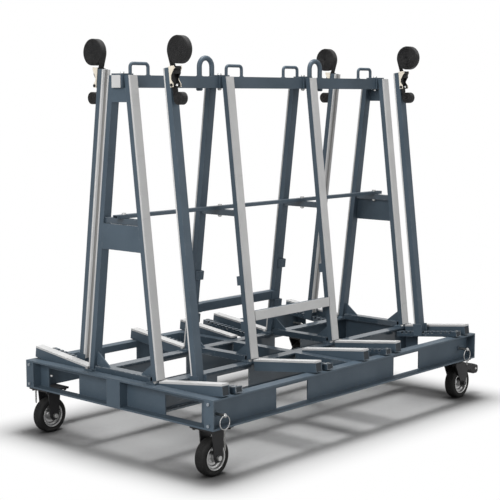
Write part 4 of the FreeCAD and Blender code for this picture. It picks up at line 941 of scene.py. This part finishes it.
@dataclass
class StrapPost:
    """Sliding post with its rubber face, ratchet, handle and two rolled straps."""

    side: Side
    end: End
    kit: FinishKit
    post_x: float = 0.769
    outer_v: float = 0.155
    top_w: float = 1.274
    # Rubber face: its lower end, and half of its outline as distances across the post and inward.
    face_low: float = 0.0413
    face_half: Pairs = ((-0.020, 0.180), (-0.020, 0.1866), (-0.0196, 0.1876), (-0.0186, 0.188),
                        (-0.0084, 0.188), (-0.0074, 0.1854))
    # Straps: the roll's offset from the post's top, its radius and core, and the bar that the end wraps.
    long_roll: tuple[float, float] = (-0.048, 0.062)
    long_size: tuple[float, float] = (0.0548, 0.007)
    spool: tuple[float, float] = (0.138, 1.255)
    spool_reach: float = 0.0084
    spool_wrap: float = 1.5 * math.pi
    short_roll: tuple[float, float] = (-0.031, -0.124)
    short_size: tuple[float, float] = (0.0248, 0.006)
    anchor: tuple[float, float] = (0.1446, 1.203)
    anchor_reach: float = 0.0054
    anchor_wrap: float = 1.2 * math.pi
    # Rivet: its distance from the anchor bolt, and its profile of radius and height.
    rivet_out: float = 0.0066
    rivet: Pairs = ((0.0052, -0.0004), (0.0052, 0.0006), (0.0047, 0.0013), (0.0036, 0.0019), (0.0018, 0.0023),
                    (0.0004, 0.0024))
    # Grooved sleeve, placed from the post's outer face and the anchor bolt.
    grip: tuple[float, float] = (-0.0265, 0.0665)
    sleeve_half: float = 0.0172
    sleeve_bore: float = 0.0052
    sleeve_low: float = 0.0058
    sleeve_high: float = 0.0066
    sleeve_edge: float = 0.0008
    sleeve_first: float = 0.0032
    sleeve_pitch: float = 0.0056
    sleeve_grooves: int = 6
    sleeve_sides: int = 28
    groove_steps: tuple[float, ...] = (0.0, 0.0007, 0.0013, 0.002)
    # Welds of the shoe: half width, distances from the post's outer face, and both ends.
    shoe_half: float = 0.0202
    shoe_seams: tuple[float, float] = (-0.0004, 0.0254)
    shoe_w: tuple[float, float] = (0.029, 0.0605)
    shoe_bead: float = 0.0018
    # Worked out from the corner.
    tag: str = field(init=False)
    x: float = field(init=False)
    tilted: TiltedFrame = field(init=False)

    def __post_init__(self) -> None:
        """Works out the name, the place and the frame of this corner."""
        self.tag = corner_tag(self.side, self.end)
        self.x = self.post_x * self.end.value
        self.tilted = TiltedFrame(self.side)

    def build(self) -> None:
        """Makes the straps, the rubber face, the rivet, the sleeve and the welds of one post."""
        self.build_straps()
        self.build_facing()
        self.build_rivet()
        self.build_sleeve()
        self.build_shoe_welds()

    def build_straps(self) -> None:
        """Rolled straps in place of the frame's plain ones."""
        builder = bmesh.new()
        uv = builder.loops.layers.uv.new("along_strap")
        for (out, up), size, bar, reach, wrap in (
                (self.long_roll, self.long_size, self.spool, self.spool_reach, self.spool_wrap),
                (self.short_roll, self.short_size, self.anchor, self.anchor_reach, self.anchor_wrap)):
            ribbon = Ribbon((self.outer_v + out, self.top_w + up), *size, bar, reach, wrap)
            ribbon.sweep(builder, uv, self.x, self.tilted)
        bmesh.ops.recalc_face_normals(builder, faces=builder.faces)
        piece = add_mesh("rolled_strap_" + self.tag, builder, self.kit.webbing, "post_" + self.tag)
        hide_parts("strap_" + self.tag)

    def build_facing(self) -> None:
        """Rubber face of the post, with rounded edges and a groove down its middle with painted shade."""
        pen = MeshPen()
        outline = mirrored(self.face_half)
        tall = self.top_w - self.face_low
        levels = [self.face_low + tall * index / STRIP_SPANS for index in range(STRIP_SPANS + 1)]
        pen.loft([[self.tilted.point(self.x + across, v, w) for across, v in outline] for w in levels])
        piece = add_mesh("grooved_facing_" + self.tag, pen.done(), self.kit.grooved_shaded, "post_" + self.tag)
        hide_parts("post_facing_" + self.tag)

    def build_rivet(self) -> None:
        """Domed rivet that closes the short strap's loop on the anchor bolt."""
        pen = MeshPen()
        v, w = self.anchor
        pen.turned(self.rivet, self.tilted.point(self.x, v - self.rivet_out, w), self.tilted.outward())
        add_mesh("strap_rivet_" + self.tag, pen.done(), self.kit.zinc, "post_" + self.tag)

    def build_sleeve(self) -> None:
        """Grooved black sleeve on the handle's grip bar."""
        pen = MeshPen()
        half, high, low = self.sleeve_half, self.sleeve_high, self.sleeve_low
        profile = [(self.sleeve_bore, -half), (low, -half), (high, -half + self.sleeve_edge)]
        for index in range(self.sleeve_grooves):
            at = -half + self.sleeve_first + index * self.sleeve_pitch
            profile += [(reach, at + step) for reach, step in zip((high, low, low, high), self.groove_steps)]
        profile += [(high, half - self.sleeve_edge), (low, half), (self.sleeve_bore, half)]
        out, up = self.grip
        middle = self.tilted.point(self.x, self.outer_v + out, self.anchor[1] + up)
        pen.turned(profile, middle, X_AXIS, self.sleeve_sides)
        add_mesh("grip_sleeve_" + self.tag, pen.done(), self.kit.plastic, "lever_" + self.tag)

    def build_shoe_welds(self) -> None:
        """Weld beads between the post and the two plates of its shoe."""
        pen = MeshPen()
        for hand in HANDS:
            for seam in self.shoe_seams:
                ends = [self.tilted.point(self.x + hand * self.shoe_half, self.outer_v + seam, w)
                        for w in self.shoe_w]
                pen.bead(*ends, self.shoe_bead)
        add_mesh("shoe_welds_" + self.tag, pen.done(), self.kit.paint, "post_" + self.tag)

    def dress(self) -> None:
        """Finishes the post, its ratchet and the handle."""
        dress(self.kit.paint, "post_" + self.tag)
        dress(self.kit.black, "ratchet_" + self.tag)
        dress(self.kit.ratchet, "ratchet_handle_" + self.tag)


@dataclass
class BaseFrame:
    """Channel base, deck, slab arms and post tracks."""

    kit: FinishKit
    painted: tuple[str, ...] = ("front_channel", "rear_channel", "end_channels", "slab_arms")
    # Bars in the deck paint, whose pale edges are partly wear and partly painted highlight.
    worn_highlit: tuple[str, ...] = ("deck_bars", "cross_bars", "post_tracks")
    # Seams of the deck beams, the cross bar and the foot bars.
    deck_y: tuple[float, float] = (0.1636, 0.2136)
    deck_z: tuple[float, float] = (0.197, 0.317)
    flange: float = 0.007
    cross_half: float = 0.02
    cross_low: float = 0.267
    foot_bar_z: tuple[float, float] = (0.3135, 0.338)
    seat_y: float = 0.5116
    seam_x: float = 0.8666
    # Tube ends: places, bores, and each ring of a plug as its depth in the tube and its inset.
    extra_arm: float = 0.045
    track_shift: float = 0.074
    arm_end: float = -0.0483
    tube_wall: float = 0.003
    arm_bore: tuple[float, float] = (0.034, 0.034)
    track_bore: tuple[float, float] = (0.032, 0.019)
    plug_rings: Pairs = ((0.010, 0.0), (0.0016, 0.0), (0.0008, 0.0012), (0.0005, 0.0040))
    plug_corner: float = 0.003

    def build(self) -> None:
        """Makes the welds of the deck and the plugs of the tubes."""
        pen = MeshPen()
        for side in Side:
            self.beam_welds(pen, side)
            self.cross_welds(pen, side)
        add_mesh("deck_welds", pen.done(), self.kit.paint, "base")
        self.build_plugs()

    def beam_welds(self, pen: MeshPen, side: Side) -> None:
        """Adds the beads where one deck beam meets the end channels.

        Args:
            pen: Mesh to add to.
            side: Side of the beam.
        """
        low, high = self.deck_z
        near, far = (side.value * y for y in self.deck_y)
        for end in End:
            x = end.value * self.seam_x
            pen.bead(Vector((x, near, high)), Vector((x, far, high)))
            for y in (near, far):
                pen.bead(Vector((x, y, low)), Vector((x, y, low + self.flange)))
                pen.bead(Vector((x, y, high - self.flange)), Vector((x, y, high)))

    def cross_welds(self, pen: MeshPen, side: Side) -> None:
        """Adds the beads of the cross bar and the foot bars on one side.

        Args:
            pen: Mesh to add to.
            side: Side of the beads.
        """
        high = self.deck_z[1]
        near, far = (side.value * y for y in self.deck_y)
        for hand in HANDS:
            x = hand * self.cross_half
            seat = side.value * self.seat_y
            pen.bead(Vector((x, seat, self.cross_low)), Vector((x, seat, high)))
            for y in (near, far):
                pen.bead(Vector((x, y, high - self.flange)), Vector((x, y, high)))
            for middle in FRAME_X:
                pen.bead(*(Vector((middle + x, near, z)) for z in self.foot_bar_z))

    def build_plugs(self) -> None:
        """Caps pressed into the outer ends of the slab arms and the post tracks; their dark colour is painted
        shade.
        """
        pen = MeshPen()
        for side in Side:
            tilted = TiltedFrame(side)
            for x in (*FRAME_X, self.extra_arm):
                self.plug(pen, tilted, x, *self.arm_bore)
            for x in FRAME_X:
                self.plug(pen, tilted, x - math.copysign(self.track_shift, x), *self.track_bore)
        add_mesh("tube_plugs", pen.done(), self.kit.plug, "base")

    def plug(self, pen: MeshPen, tilted: TiltedFrame, x: float, wide: float, high: float) -> None:
        """Adds one cap with its pillowed face, just inside the tube's end.

        Args:
            pen: Mesh to add to.
            tilted: Frame of the cap's side.
            x: Place of the tube along the cart.
            wide: Width of the tube's bore.
            high: Height of the tube's bore.
        """
        cut = self.plug_corner
        sections = []
        for deep, inset in self.plug_rings:
            half, low, top = wide / 2 - inset, self.tube_wall + inset, self.tube_wall + high - inset
            outline = [(-half, low + cut), (-half + cut, low), (half - cut, low), (half, low + cut),
                       (half, top - cut), (half - cut, top), (-half + cut, top), (-half, top - cut)]
            sections.append([tilted.point(x + across, self.arm_end + deep, w) for across, w in outline])
        pen.loft(sections)

    def dress(self) -> None:
        """Paints the steel, gives the arms their rubber tops and plates the bolts."""
        dress(self.kit.paint, *self.painted)
        dress(self.kit.deck_paint, *self.worn_highlit)
        dress(self.kit.rubber, "arm_facings")
        dress(self.kit.plated, "fasteners")


@dataclass
class LegFrames:
    """The A-frames, the ridge with its fittings, the tie bar and the hung rails."""

    kit: FinishKit
    painted: tuple[str, ...] = ("frame_legs", "frame_plates", "rail_sockets", "ridge_beam", "ridge_saddles",
                                "ridge_handles", "lifting_eyes", "tie_bar", "rail_front", "rail_rear")
    rubber: tuple[str, ...] = ("rail_facing_front", "rail_facing_rear")
    # Legs and their rubber strips.
    ridge_top: float = 1.535
    ridge_gap: float = 0.0315
    foot: float = 0.323
    leg_depth: float = 0.025
    leg_half: float = 0.02
    facing_width: float = 0.042
    facing_thick: float = 0.008
    facing_edge: float = 0.0015
    round_share: float = 0.3
    # Welds of the plates, the hoops and the lifting eyes.
    plate_x: float = 0.8575
    plate_spans: Pairs = ((0.835, 0.938), (1.429, 1.484))
    seam_sink: float = 0.0005
    ring_rise: float = 0.0006
    hoop_offset: float = 0.091
    hoop_half: float = 0.049
    hoop_weld: float = 0.0081
    eye_x: float = 0.367
    eye_half: float = 0.038
    eye_weld: float = 0.0121
    # Welds of the gussets.
    bar_rise: float = 0.016
    gusset_rise: float = 0.057
    gusset_half: float = 0.0027
    gusset_y: float = 0.096
    gusset_bead: float = 0.0018
    tip_sink: float = 0.002

    def inner_y(self, z: float) -> float:
        """Distance of the legs' inner faces from the middle plane at one height."""
        return self.ridge_gap + (self.ridge_top - z) * math.tan(LEAN)

    def build(self) -> None:
        """Makes the welds of the frames and the ridge, and the rubber strips of the legs."""
        pen = MeshPen()
        for side in Side:
            for x in FRAME_X:
                self.foot_welds(pen, x, -side.value)
            for end in End:
                for span in self.plate_spans:
                    pen.bead(*(self.seam(end.value * self.plate_x, -side.value, z) for z in span))
        top = self.ridge_top + self.ring_rise
        hoops = [x - math.copysign(self.hoop_offset, x) for x in FRAME_X]
        eyes = [end.value * self.eye_x for end in End]
        for middles, half, reach in ((hoops, self.hoop_half, self.hoop_weld),
                                     (eyes, self.eye_half, self.eye_weld)):
            for middle in middles:
                for hand in HANDS:
                    pen.ring_bead(Vector((middle + hand * half, 0.0, top)), reach)
        add_mesh("frame_welds", pen.done(), self.kit.paint, "base")
        self.build_facings()

    def seam(self, x: float, way: int, z: float) -> Vector:
        """Point at one height of a seam along a leg's inner face."""
        return Vector((x, way * (self.inner_y(z) - self.seam_sink), z))

    def foot_welds(self, pen: MeshPen, x: float, way: int) -> None:
        """Adds the beads round one foot and along its gusset.

        Args:
            pen: Mesh to add to.
            x: Place of the frame along the cart.
            way: Sign of Y on this side.
        """
        near = self.inner_y(self.foot)
        far = near + self.leg_depth / math.cos(LEAN)
        left, right = (Vector((x + hand * self.leg_half, way * near, self.foot)) for hand in HANDS)
        pen.bead(left, right)
        bar_top = self.foot + self.bar_rise
        for hand, corner in zip(HANDS, (left, right)):
            pen.bead(corner, Vector((corner.x, way * far, self.foot)))
            edge = x + hand * self.gusset_half
            foot = self.seam(edge, way, bar_top)
            pen.bead(Vector((edge, way * self.gusset_y, bar_top)), foot - Y_AXIS * (way * self.seam_sink),
                     self.gusset_bead)
            tip = self.seam(edge, way, bar_top + self.gusset_rise)
            pen.bead(foot, tip - Z_AXIS * self.tip_sink, self.gusset_bead)

    def build_facings(self) -> None:
        """Rubber strips down the legs, with rounded outer edges, sawn level at both ends."""
        pen = MeshPen()
        half, edge, slope = self.facing_width / 2, self.facing_edge, math.cos(LEAN)
        outer, bend = self.facing_thick / slope, self.round_share * self.facing_edge
        outline = mirrored([(-half, 0.0), (-half, outer - edge), (-half + bend, outer - bend),
                            (-half + edge, outer)])
        low = self.foot + self.facing_thick
        for side in Side:
            for x in FRAME_X:
                sections = []
                for index in range(STRIP_SPANS + 1):
                    z = low + (self.ridge_top - low) * index / STRIP_SPANS
                    back = self.inner_y(z) + self.leg_depth / slope
                    sections.append([Vector((x + across, -side.value * (back + out), z))
                                     for across, out in outline])
                pen.loft(sections)
        piece = add_mesh("leg_facing_strips", pen.done(), self.kit.rubber, "base")
        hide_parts("leg_facings")

    def dress(self) -> None:
        """Paints the steel and finishes the rails' rubber and the ridge's end caps."""
        dress(self.kit.paint, *self.painted)
        dress(self.kit.rubber, *self.rubber)
        dress(self.kit.cap, "ridge_caps")


@dataclass
class Casters:
    """Wheels, forks, brake pedals and their mounts."""

    kit: FinishKit
    # Places of the wheels and their top plates.
    rigid_x: float = -0.849
    swivel_x: float = 0.841
    trail: float = 0.034
    wheel_y: float = 0.488
    wheel_z: float = 0.075
    plate_z: float = 0.189
    # Washers and nuts under a top plate, as radius and height.
    bolt_half: float = 0.048
    washer: Pairs = ((0.0085, -0.0002), (0.0085, 0.0015), (0.0082, 0.0018))
    nut: Pairs = ((0.0062, 0.0015), (0.0066, 0.002), (0.0066, 0.0068), (0.0058, 0.0074))
    # Tyre: outline of its wall and grooves of its tread, as radius and distance from its middle.
    tyre_reach: float = 0.07496
    tread_depth: float = 0.0018
    tyre_wall: Pairs = ((0.0525, 0.025), (0.0580, 0.025), (0.0586, 0.0241), (0.0600, 0.0241), (0.0606, 0.025),
                        (0.0667, 0.025), (0.0702, 0.0231), (0.0728, 0.0205), (0.0744, 0.0175))
    tread_out: float = 0.0140
    grooves: tuple[float, float] = (0.0105, 0.0035)
    groove_half: tuple[float, float] = (0.0013, 0.0008)
    # Trim: the seal's profile, and each rim bead's reach, distance from the middle and radius.
    seal: Pairs = ((0.0065, 0.0), (0.0160, 0.0), (0.0160, 0.0009), (0.0150, 0.0016), (0.0118, 0.0016),
                   (0.0112, 0.0008), (0.0102, 0.0008), (0.0096, 0.0015), (0.0065, 0.0015))
    seal_out: float = 0.0284
    seal_sides: int = 32
    lips: Triples = ((0.0495, 0.0228, 0.0014), (0.0405, 0.0108, 0.0013))
    # Black rings on the rim: painted dark reflection and shade between its steps.
    shade_rings: Triples = ((0.0455, 0.0165, 0.0016), (0.0353, 0.0060, 0.0016), (0.0524, 0.0232, 0.0010))
    # Pedal: the line that its ribs follow from the pedal's place, and the bolt through its block.
    pedal_at: tuple[float, float] = (0.905, 0.155)
    crest: Pairs = ((0.046, 0.0003), (0.088, -0.008), (0.108, -0.0135))
    crest_spans: int = 5
    last_rib: float = 0.45
    rib_half: float = 0.0225
    rib_radius: float = 0.0016
    rib_wave: float = 0.05
    block_bolt: tuple[float, float] = (0.096, -0.030)
    block_half: float = 0.025
    block_washer: Pairs = ((0.0056, -0.0003), (0.0056, 0.0010), (0.0053, 0.0012))
    block_nut: Pairs = ((0.0036, 0.0010), (0.0041, 0.0014), (0.0041, 0.0038), (0.0034, 0.0044))

    def build(self) -> None:
        """Makes the tyres, the wheels' trim, the nuts under the plates and the pedals' treads."""
        nuts = MeshPen()
        for side in Side:
            y = -side.value * self.wheel_y
            for end, x in ((End.LEFT, self.rigid_x), (End.RIGHT, self.swivel_x + self.trail)):
                middle = Vector((x, y, self.wheel_z))
                self.build_tyre(corner_tag(side, end), middle)
                self.build_trim(corner_tag(side, end), middle)
            for x in (self.rigid_x, self.swivel_x):
                for across in HANDS:
                    for along in HANDS:
                        spot = Vector((x + across * self.bolt_half, y + along * self.bolt_half, self.plate_z))
                        nuts.turned(self.washer, spot, -Z_AXIS)
                        nuts.turned(self.nut, spot, -Z_AXIS, HEXAGON, False)
            self.build_tread(side.name.lower(), y)
        add_mesh("plate_nuts", nuts.done(), self.kit.black, "base")

    def build_tyre(self, tag: str, middle: Vector) -> None:
        """Makes a tyre with grooves round its tread and a line round each wall.

        Args:
            tag: Corner of the wheel.
            middle: Centre of the wheel.
        """
        tread, floor = self.tyre_reach, self.tyre_reach - self.tread_depth
        wide, narrow = self.groove_half
        half = [*self.tyre_wall, (tread, self.tread_out)]
        for groove in self.grooves:
            half += [(tread, groove + wide), (floor, groove + narrow), (floor, groove - narrow),
                     (tread, groove - wide)]
        profile = half + [(radius, -out) for radius, out in reversed(half)]
        pen = MeshPen()
        pen.hoop(profile, middle, Y_AXIS)
        piece = add_mesh("ribbed_tyre_" + tag, pen.done(), self.kit.tyre, "wheel_" + tag)
        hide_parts("tyre_" + tag)

    def build_trim(self, tag: str, middle: Vector) -> None:
        """Makes the bearing seals on both faces of one hub, the lips of its rim, and black rings painted between
        its steps as dark reflection and shade.

        Args:
            tag: Corner of the wheel.
            middle: Centre of the wheel.
        """
        pen = MeshPen()
        for hand in HANDS:
            pen.turned(self.seal, middle + Y_AXIS * (hand * self.seal_out), Y_AXIS * hand, self.seal_sides)
        add_mesh("hub_seals_" + tag, pen.done(), self.kit.black, "wheel_" + tag)
        # The black rings paint dark reflection and shade between the rim's steps.
        for name, finish, slot, beads in (("rim_lips_", self.kit.zinc, "zinc", self.lips),
                                          ("rim_seams_", self.kit.black, "black_steel", self.shade_rings)):
            rings = MeshPen()
            for hand in HANDS:
                for reach, out, thick in beads:
                    rings.ring_bead(middle + Y_AXIS * (hand * out), reach, thick, 0.0, Y_AXIS)
            add_mesh(name + tag, rings.done(), finish, "wheel_" + tag)

    def build_tread(self, name: str, y: float) -> None:
        """Makes the grip ribs on a pedal and the bolt through its block.

        Args:
            name: Side of the cart, as the frame's nodes use it.
            y: Place of the pedal's middle across the cart.
        """
        pen = MeshPen()
        x, z = self.pedal_at
        start, bend, stop = (Vector((x + along, y, z + up)) for along, up in self.crest)
        spots = [start.lerp(bend, index / self.crest_spans) for index in range(self.crest_spans + 1)]
        for spot in (*spots, bend.lerp(stop, self.last_rib)):
            side = Y_AXIS * self.rib_half
            pen.bead(spot - side, spot + side, self.rib_radius, self.rib_wave)
        add_mesh("pedal_ribs_" + name, pen.done(), self.kit.plastic, "pedal_" + name)
        bolt = MeshPen()
        along, up = self.block_bolt
        for hand in HANDS:
            spot = Vector((x + along, y + hand * self.block_half, z + up))
            bolt.turned(self.block_washer, spot, Y_AXIS * hand)
            bolt.turned(self.block_nut, spot, Y_AXIS * hand, HEXAGON, False)
        add_mesh("pedal_bolts_" + name, bolt.done(), self.kit.zinc, "pedal_" + name)

    def dress(self) -> None:
        """Finishes the black ironwork, the pedals and the rims."""
        dress(self.kit.black, "caster_mounts")
        for side in Side:
            name = side.name.lower()
            dress(self.kit.black, "caster_fork_" + name)
            dress(self.kit.plastic, "brake_pedal_" + name)
            dress(self.kit.rim, *("rim_" + corner_tag(side, end) for end in End))


@dataclass
class LockPins:
    """Locking pins with their rings and keeper chains."""

    kit: FinishKit
    # Places of the pins, and profiles of a bush and a tip as radius and height.
    places: tuple[float, float] = (-0.859, 0.835)
    pin_z: float = 0.251
    web_y: float = 0.518
    bush: Pairs = ((0.0066, 0.0), (0.0105, 0.0), (0.0112, 0.0006), (0.0112, 0.0032), (0.0105, 0.0038),
                   (0.0066, 0.0038))
    bush_sides: int = 28
    tip_y: float = 0.490
    tip: Pairs = ((0.0058, -0.002), (0.0058, 0.030), (0.0055, 0.033), (0.0046, 0.0358), (0.0028, 0.0376),
                  (0.0006, 0.038))

    def build(self) -> None:
        """Makes painted bushes on the webs of the long channels, and the pins' rounded inner ends."""
        for side in Side:
            outward = -side.value
            for end, x in zip(End, self.places):
                tag = corner_tag(side, end)
                bush = MeshPen()
                bush.turned(self.bush, Vector((x, outward * self.web_y, self.pin_z)), Y_AXIS * outward,
                            self.bush_sides)
                add_mesh("pin_bush_" + tag, bush.done(), self.kit.paint, "base")
                tip = MeshPen()
                tip.turned(self.tip, Vector((x, outward * self.tip_y, self.pin_z)), -Y_AXIS * outward)
                add_mesh("pin_tip_" + tag, tip.done(), self.kit.zinc, "pin_" + tag)

    def dress(self) -> None:
        """Gives every pin its zinc finish, duller on the chain."""
        dress(self.kit.pin, *("pin_" + corner_tag(side, end) for side in Side for end in End))


@dataclass
class Studio:
    """Pale floor, soft lights and the camera."""

    # Camera, as fitted to the photograph.
    camera_at: tuple[float, float, float] = (-4.281, -3.769, 1.454)
    yaw: float = math.radians(41.93)
    pitch: float = math.radians(6.95)
    lens: float = 91.21
    sensor: float = 36.0
    sight: float = 200.0
    # Floor, its fade to white beyond the footprint, and the shade painted into its colour under the cart.
    floor_size: float = 60.0
    floor_sides: int = 96
    floor_rough: float = 0.9
    floor_specular: float = 0.1
    footprint: tuple[float, float] = (0.91, 0.55)
    fade: tuple[float, float] = (0.0, 0.30)
    floor_grey: float = 0.45
    shade_reach: float = 0.30
    shade_grey: float = 0.03
    shade_power: float = 2.6
    shade_samples: int = 12
    # World and lamps, each lamp with its name, place, width and power.
    surroundings: float = 0.24
    gloss_share: float = 0.8
    aim: tuple[float, float, float] = (0.0, 0.0, 0.7)
    lamps: tuple[tuple[str, tuple[float, float, float], float, float], ...] = (
        ("key", (-4.6, -1.4, 2.6), 2.2, 165.0),
        ("top", (0.2, 0.2, 5.2), 1.4, 262.0),
        ("fill", (1.8, -5.2, 1.7), 3.0, 84.0),
    )

    def build(self) -> None:
        """Builds the floor, the lights, the world and the camera."""
        self.floor()
        self.lights()
        self.world()
        self.camera()
        bpy.context.scene.view_settings.view_transform = "Standard"

    def floor(self) -> None:
        """Large floor that fades to white far from the cart, with shade painted into its grey colour near and
        under it.
        """
        builder = bmesh.new()
        bmesh.ops.create_circle(builder, cap_ends=True, segments=self.floor_sides, radius=self.floor_size / 2)
        mesh = bpy.data.meshes.new("studio_floor")
        builder.to_mesh(mesh)
        builder.free()
        made, tree, shader = blank_material("floor_white")
        # Ambient occlusion darkens the floor's colour under the cart: painted shade.
        open_air = tree.add("AmbientOcclusion", {"Distance": self.shade_reach}, samples=self.shade_samples)
        lit = tree.math("POWER", open_air.outputs["AO"], self.shade_power)
        tree.feed(shader, "Base Color", tree.mix(lit, (self.shade_grey,) * 3, (self.floor_grey,) * 3))
        shader.inputs["Roughness"].default_value = self.floor_rough
        shader.inputs["Specular IOR Level"].default_value = self.floor_specular
        # The floor keeps its grey only round the cart's footprint, as painted shade, and turns white beyond it.
        beyond = tree.vector("SUBTRACT", tree.vector("ABSOLUTE", tree.place()), (*self.footprint, 0.0))
        away = tree.vector("LENGTH", tree.vector("MAXIMUM", beyond), output="Value")
        edge = tree.add("MapRange", {"Value": away, "From Min": self.fade[0], "From Max": self.fade[1]},
                        interpolation_type="SMOOTHSTEP").outputs["Result"]
        glow = tree.add("Emission", {"Color": (1.0, 1.0, 1.0, 1.0), "Strength": 1.0})
        path = tree.add("LightPath").outputs
        seen = tree.math("MAXIMUM", path["Is Camera Ray"], path["Is Glossy Ray"])
        seen = tree.math("MAXIMUM", seen, path["Is Transmission Ray"])
        blend = tree.math("MULTIPLY", edge, seen)
        joined = tree.add("MixShader", {0: blend, 1: shader.outputs[0], 2: glow.outputs[0]})
        tree.feed(made.node_tree.nodes["Material Output"], "Surface", joined.outputs[0])
        mesh.materials.append(made)
        piece = bpy.data.objects.new("studio_floor", mesh)
        bpy.context.scene.collection.objects.link(piece)

    def lights(self) -> None:
        """Soft square lamps aimed at the cart's middle."""
        for name, place, wide, power in self.lamps:
            lamp = bpy.data.lights.new(name, "AREA")
            lamp.shape = "SQUARE"
            lamp.size = wide
            lamp.energy = power
            holder = bpy.data.objects.new(name, lamp)
            holder.location = place
            way = Vector(self.aim) - Vector(place)
            holder.rotation_euler = way.to_track_quat("-Z", "Y").to_euler()
            bpy.context.scene.collection.objects.link(holder)

    def world(self) -> None:
        """Even white surroundings, plain white where the camera or a gloss sees them."""
        made = bpy.data.worlds.new("studio")
        made.use_nodes = True
        tree = NodeTree(made.node_tree)
        back = made.node_tree.nodes["Background"]
        back.inputs["Color"].default_value = (1.0, 1.0, 1.0, 1.0)
        path = tree.add("LightPath").outputs
        shown = tree.math("MAXIMUM", path["Is Camera Ray"], path["Is Transmission Ray"])
        shown = tree.math("MAXIMUM", shown, tree.math("MULTIPLY", path["Is Glossy Ray"], self.gloss_share))
        tree.feed(back, "Strength", tree.remap(shown, 0.0, 1.0, self.surroundings, 1.0))
        bpy.context.scene.world = made

    def camera(self) -> None:
        """Camera at the photograph's place and angle."""
        data = bpy.data.cameras.new("photo_camera")
        data.lens = self.lens
        data.sensor_width = self.sensor
        data.clip_end = self.sight
        holder = bpy.data.objects.new("photo_camera", data)
        holder.location = self.camera_at
        level = math.cos(self.pitch)
        look = Vector((math.cos(self.yaw) * level, math.sin(self.yaw) * level, -math.sin(self.pitch)))
        holder.rotation_euler = look.to_track_quat("-Z", "Y").to_euler()
        bpy.context.scene.collection.objects.link(holder)
        bpy.context.scene.camera = holder


def main() -> None:
    """Builds the finishes, the studio and every sub-assembly in order."""
    logging.basicConfig(level=logging.INFO, format="%(message)s")
    kit = FinishKit(Effects())
    Studio().build()
    posts = [StrapPost(side, end, kit) for side in Side for end in End]
    for assembly in (BaseFrame(kit), LegFrames(kit), *posts, Casters(kit), LockPins(kit)):
        assembly.build()
        assembly.dress()


if __name__ == "__main__":
    main()
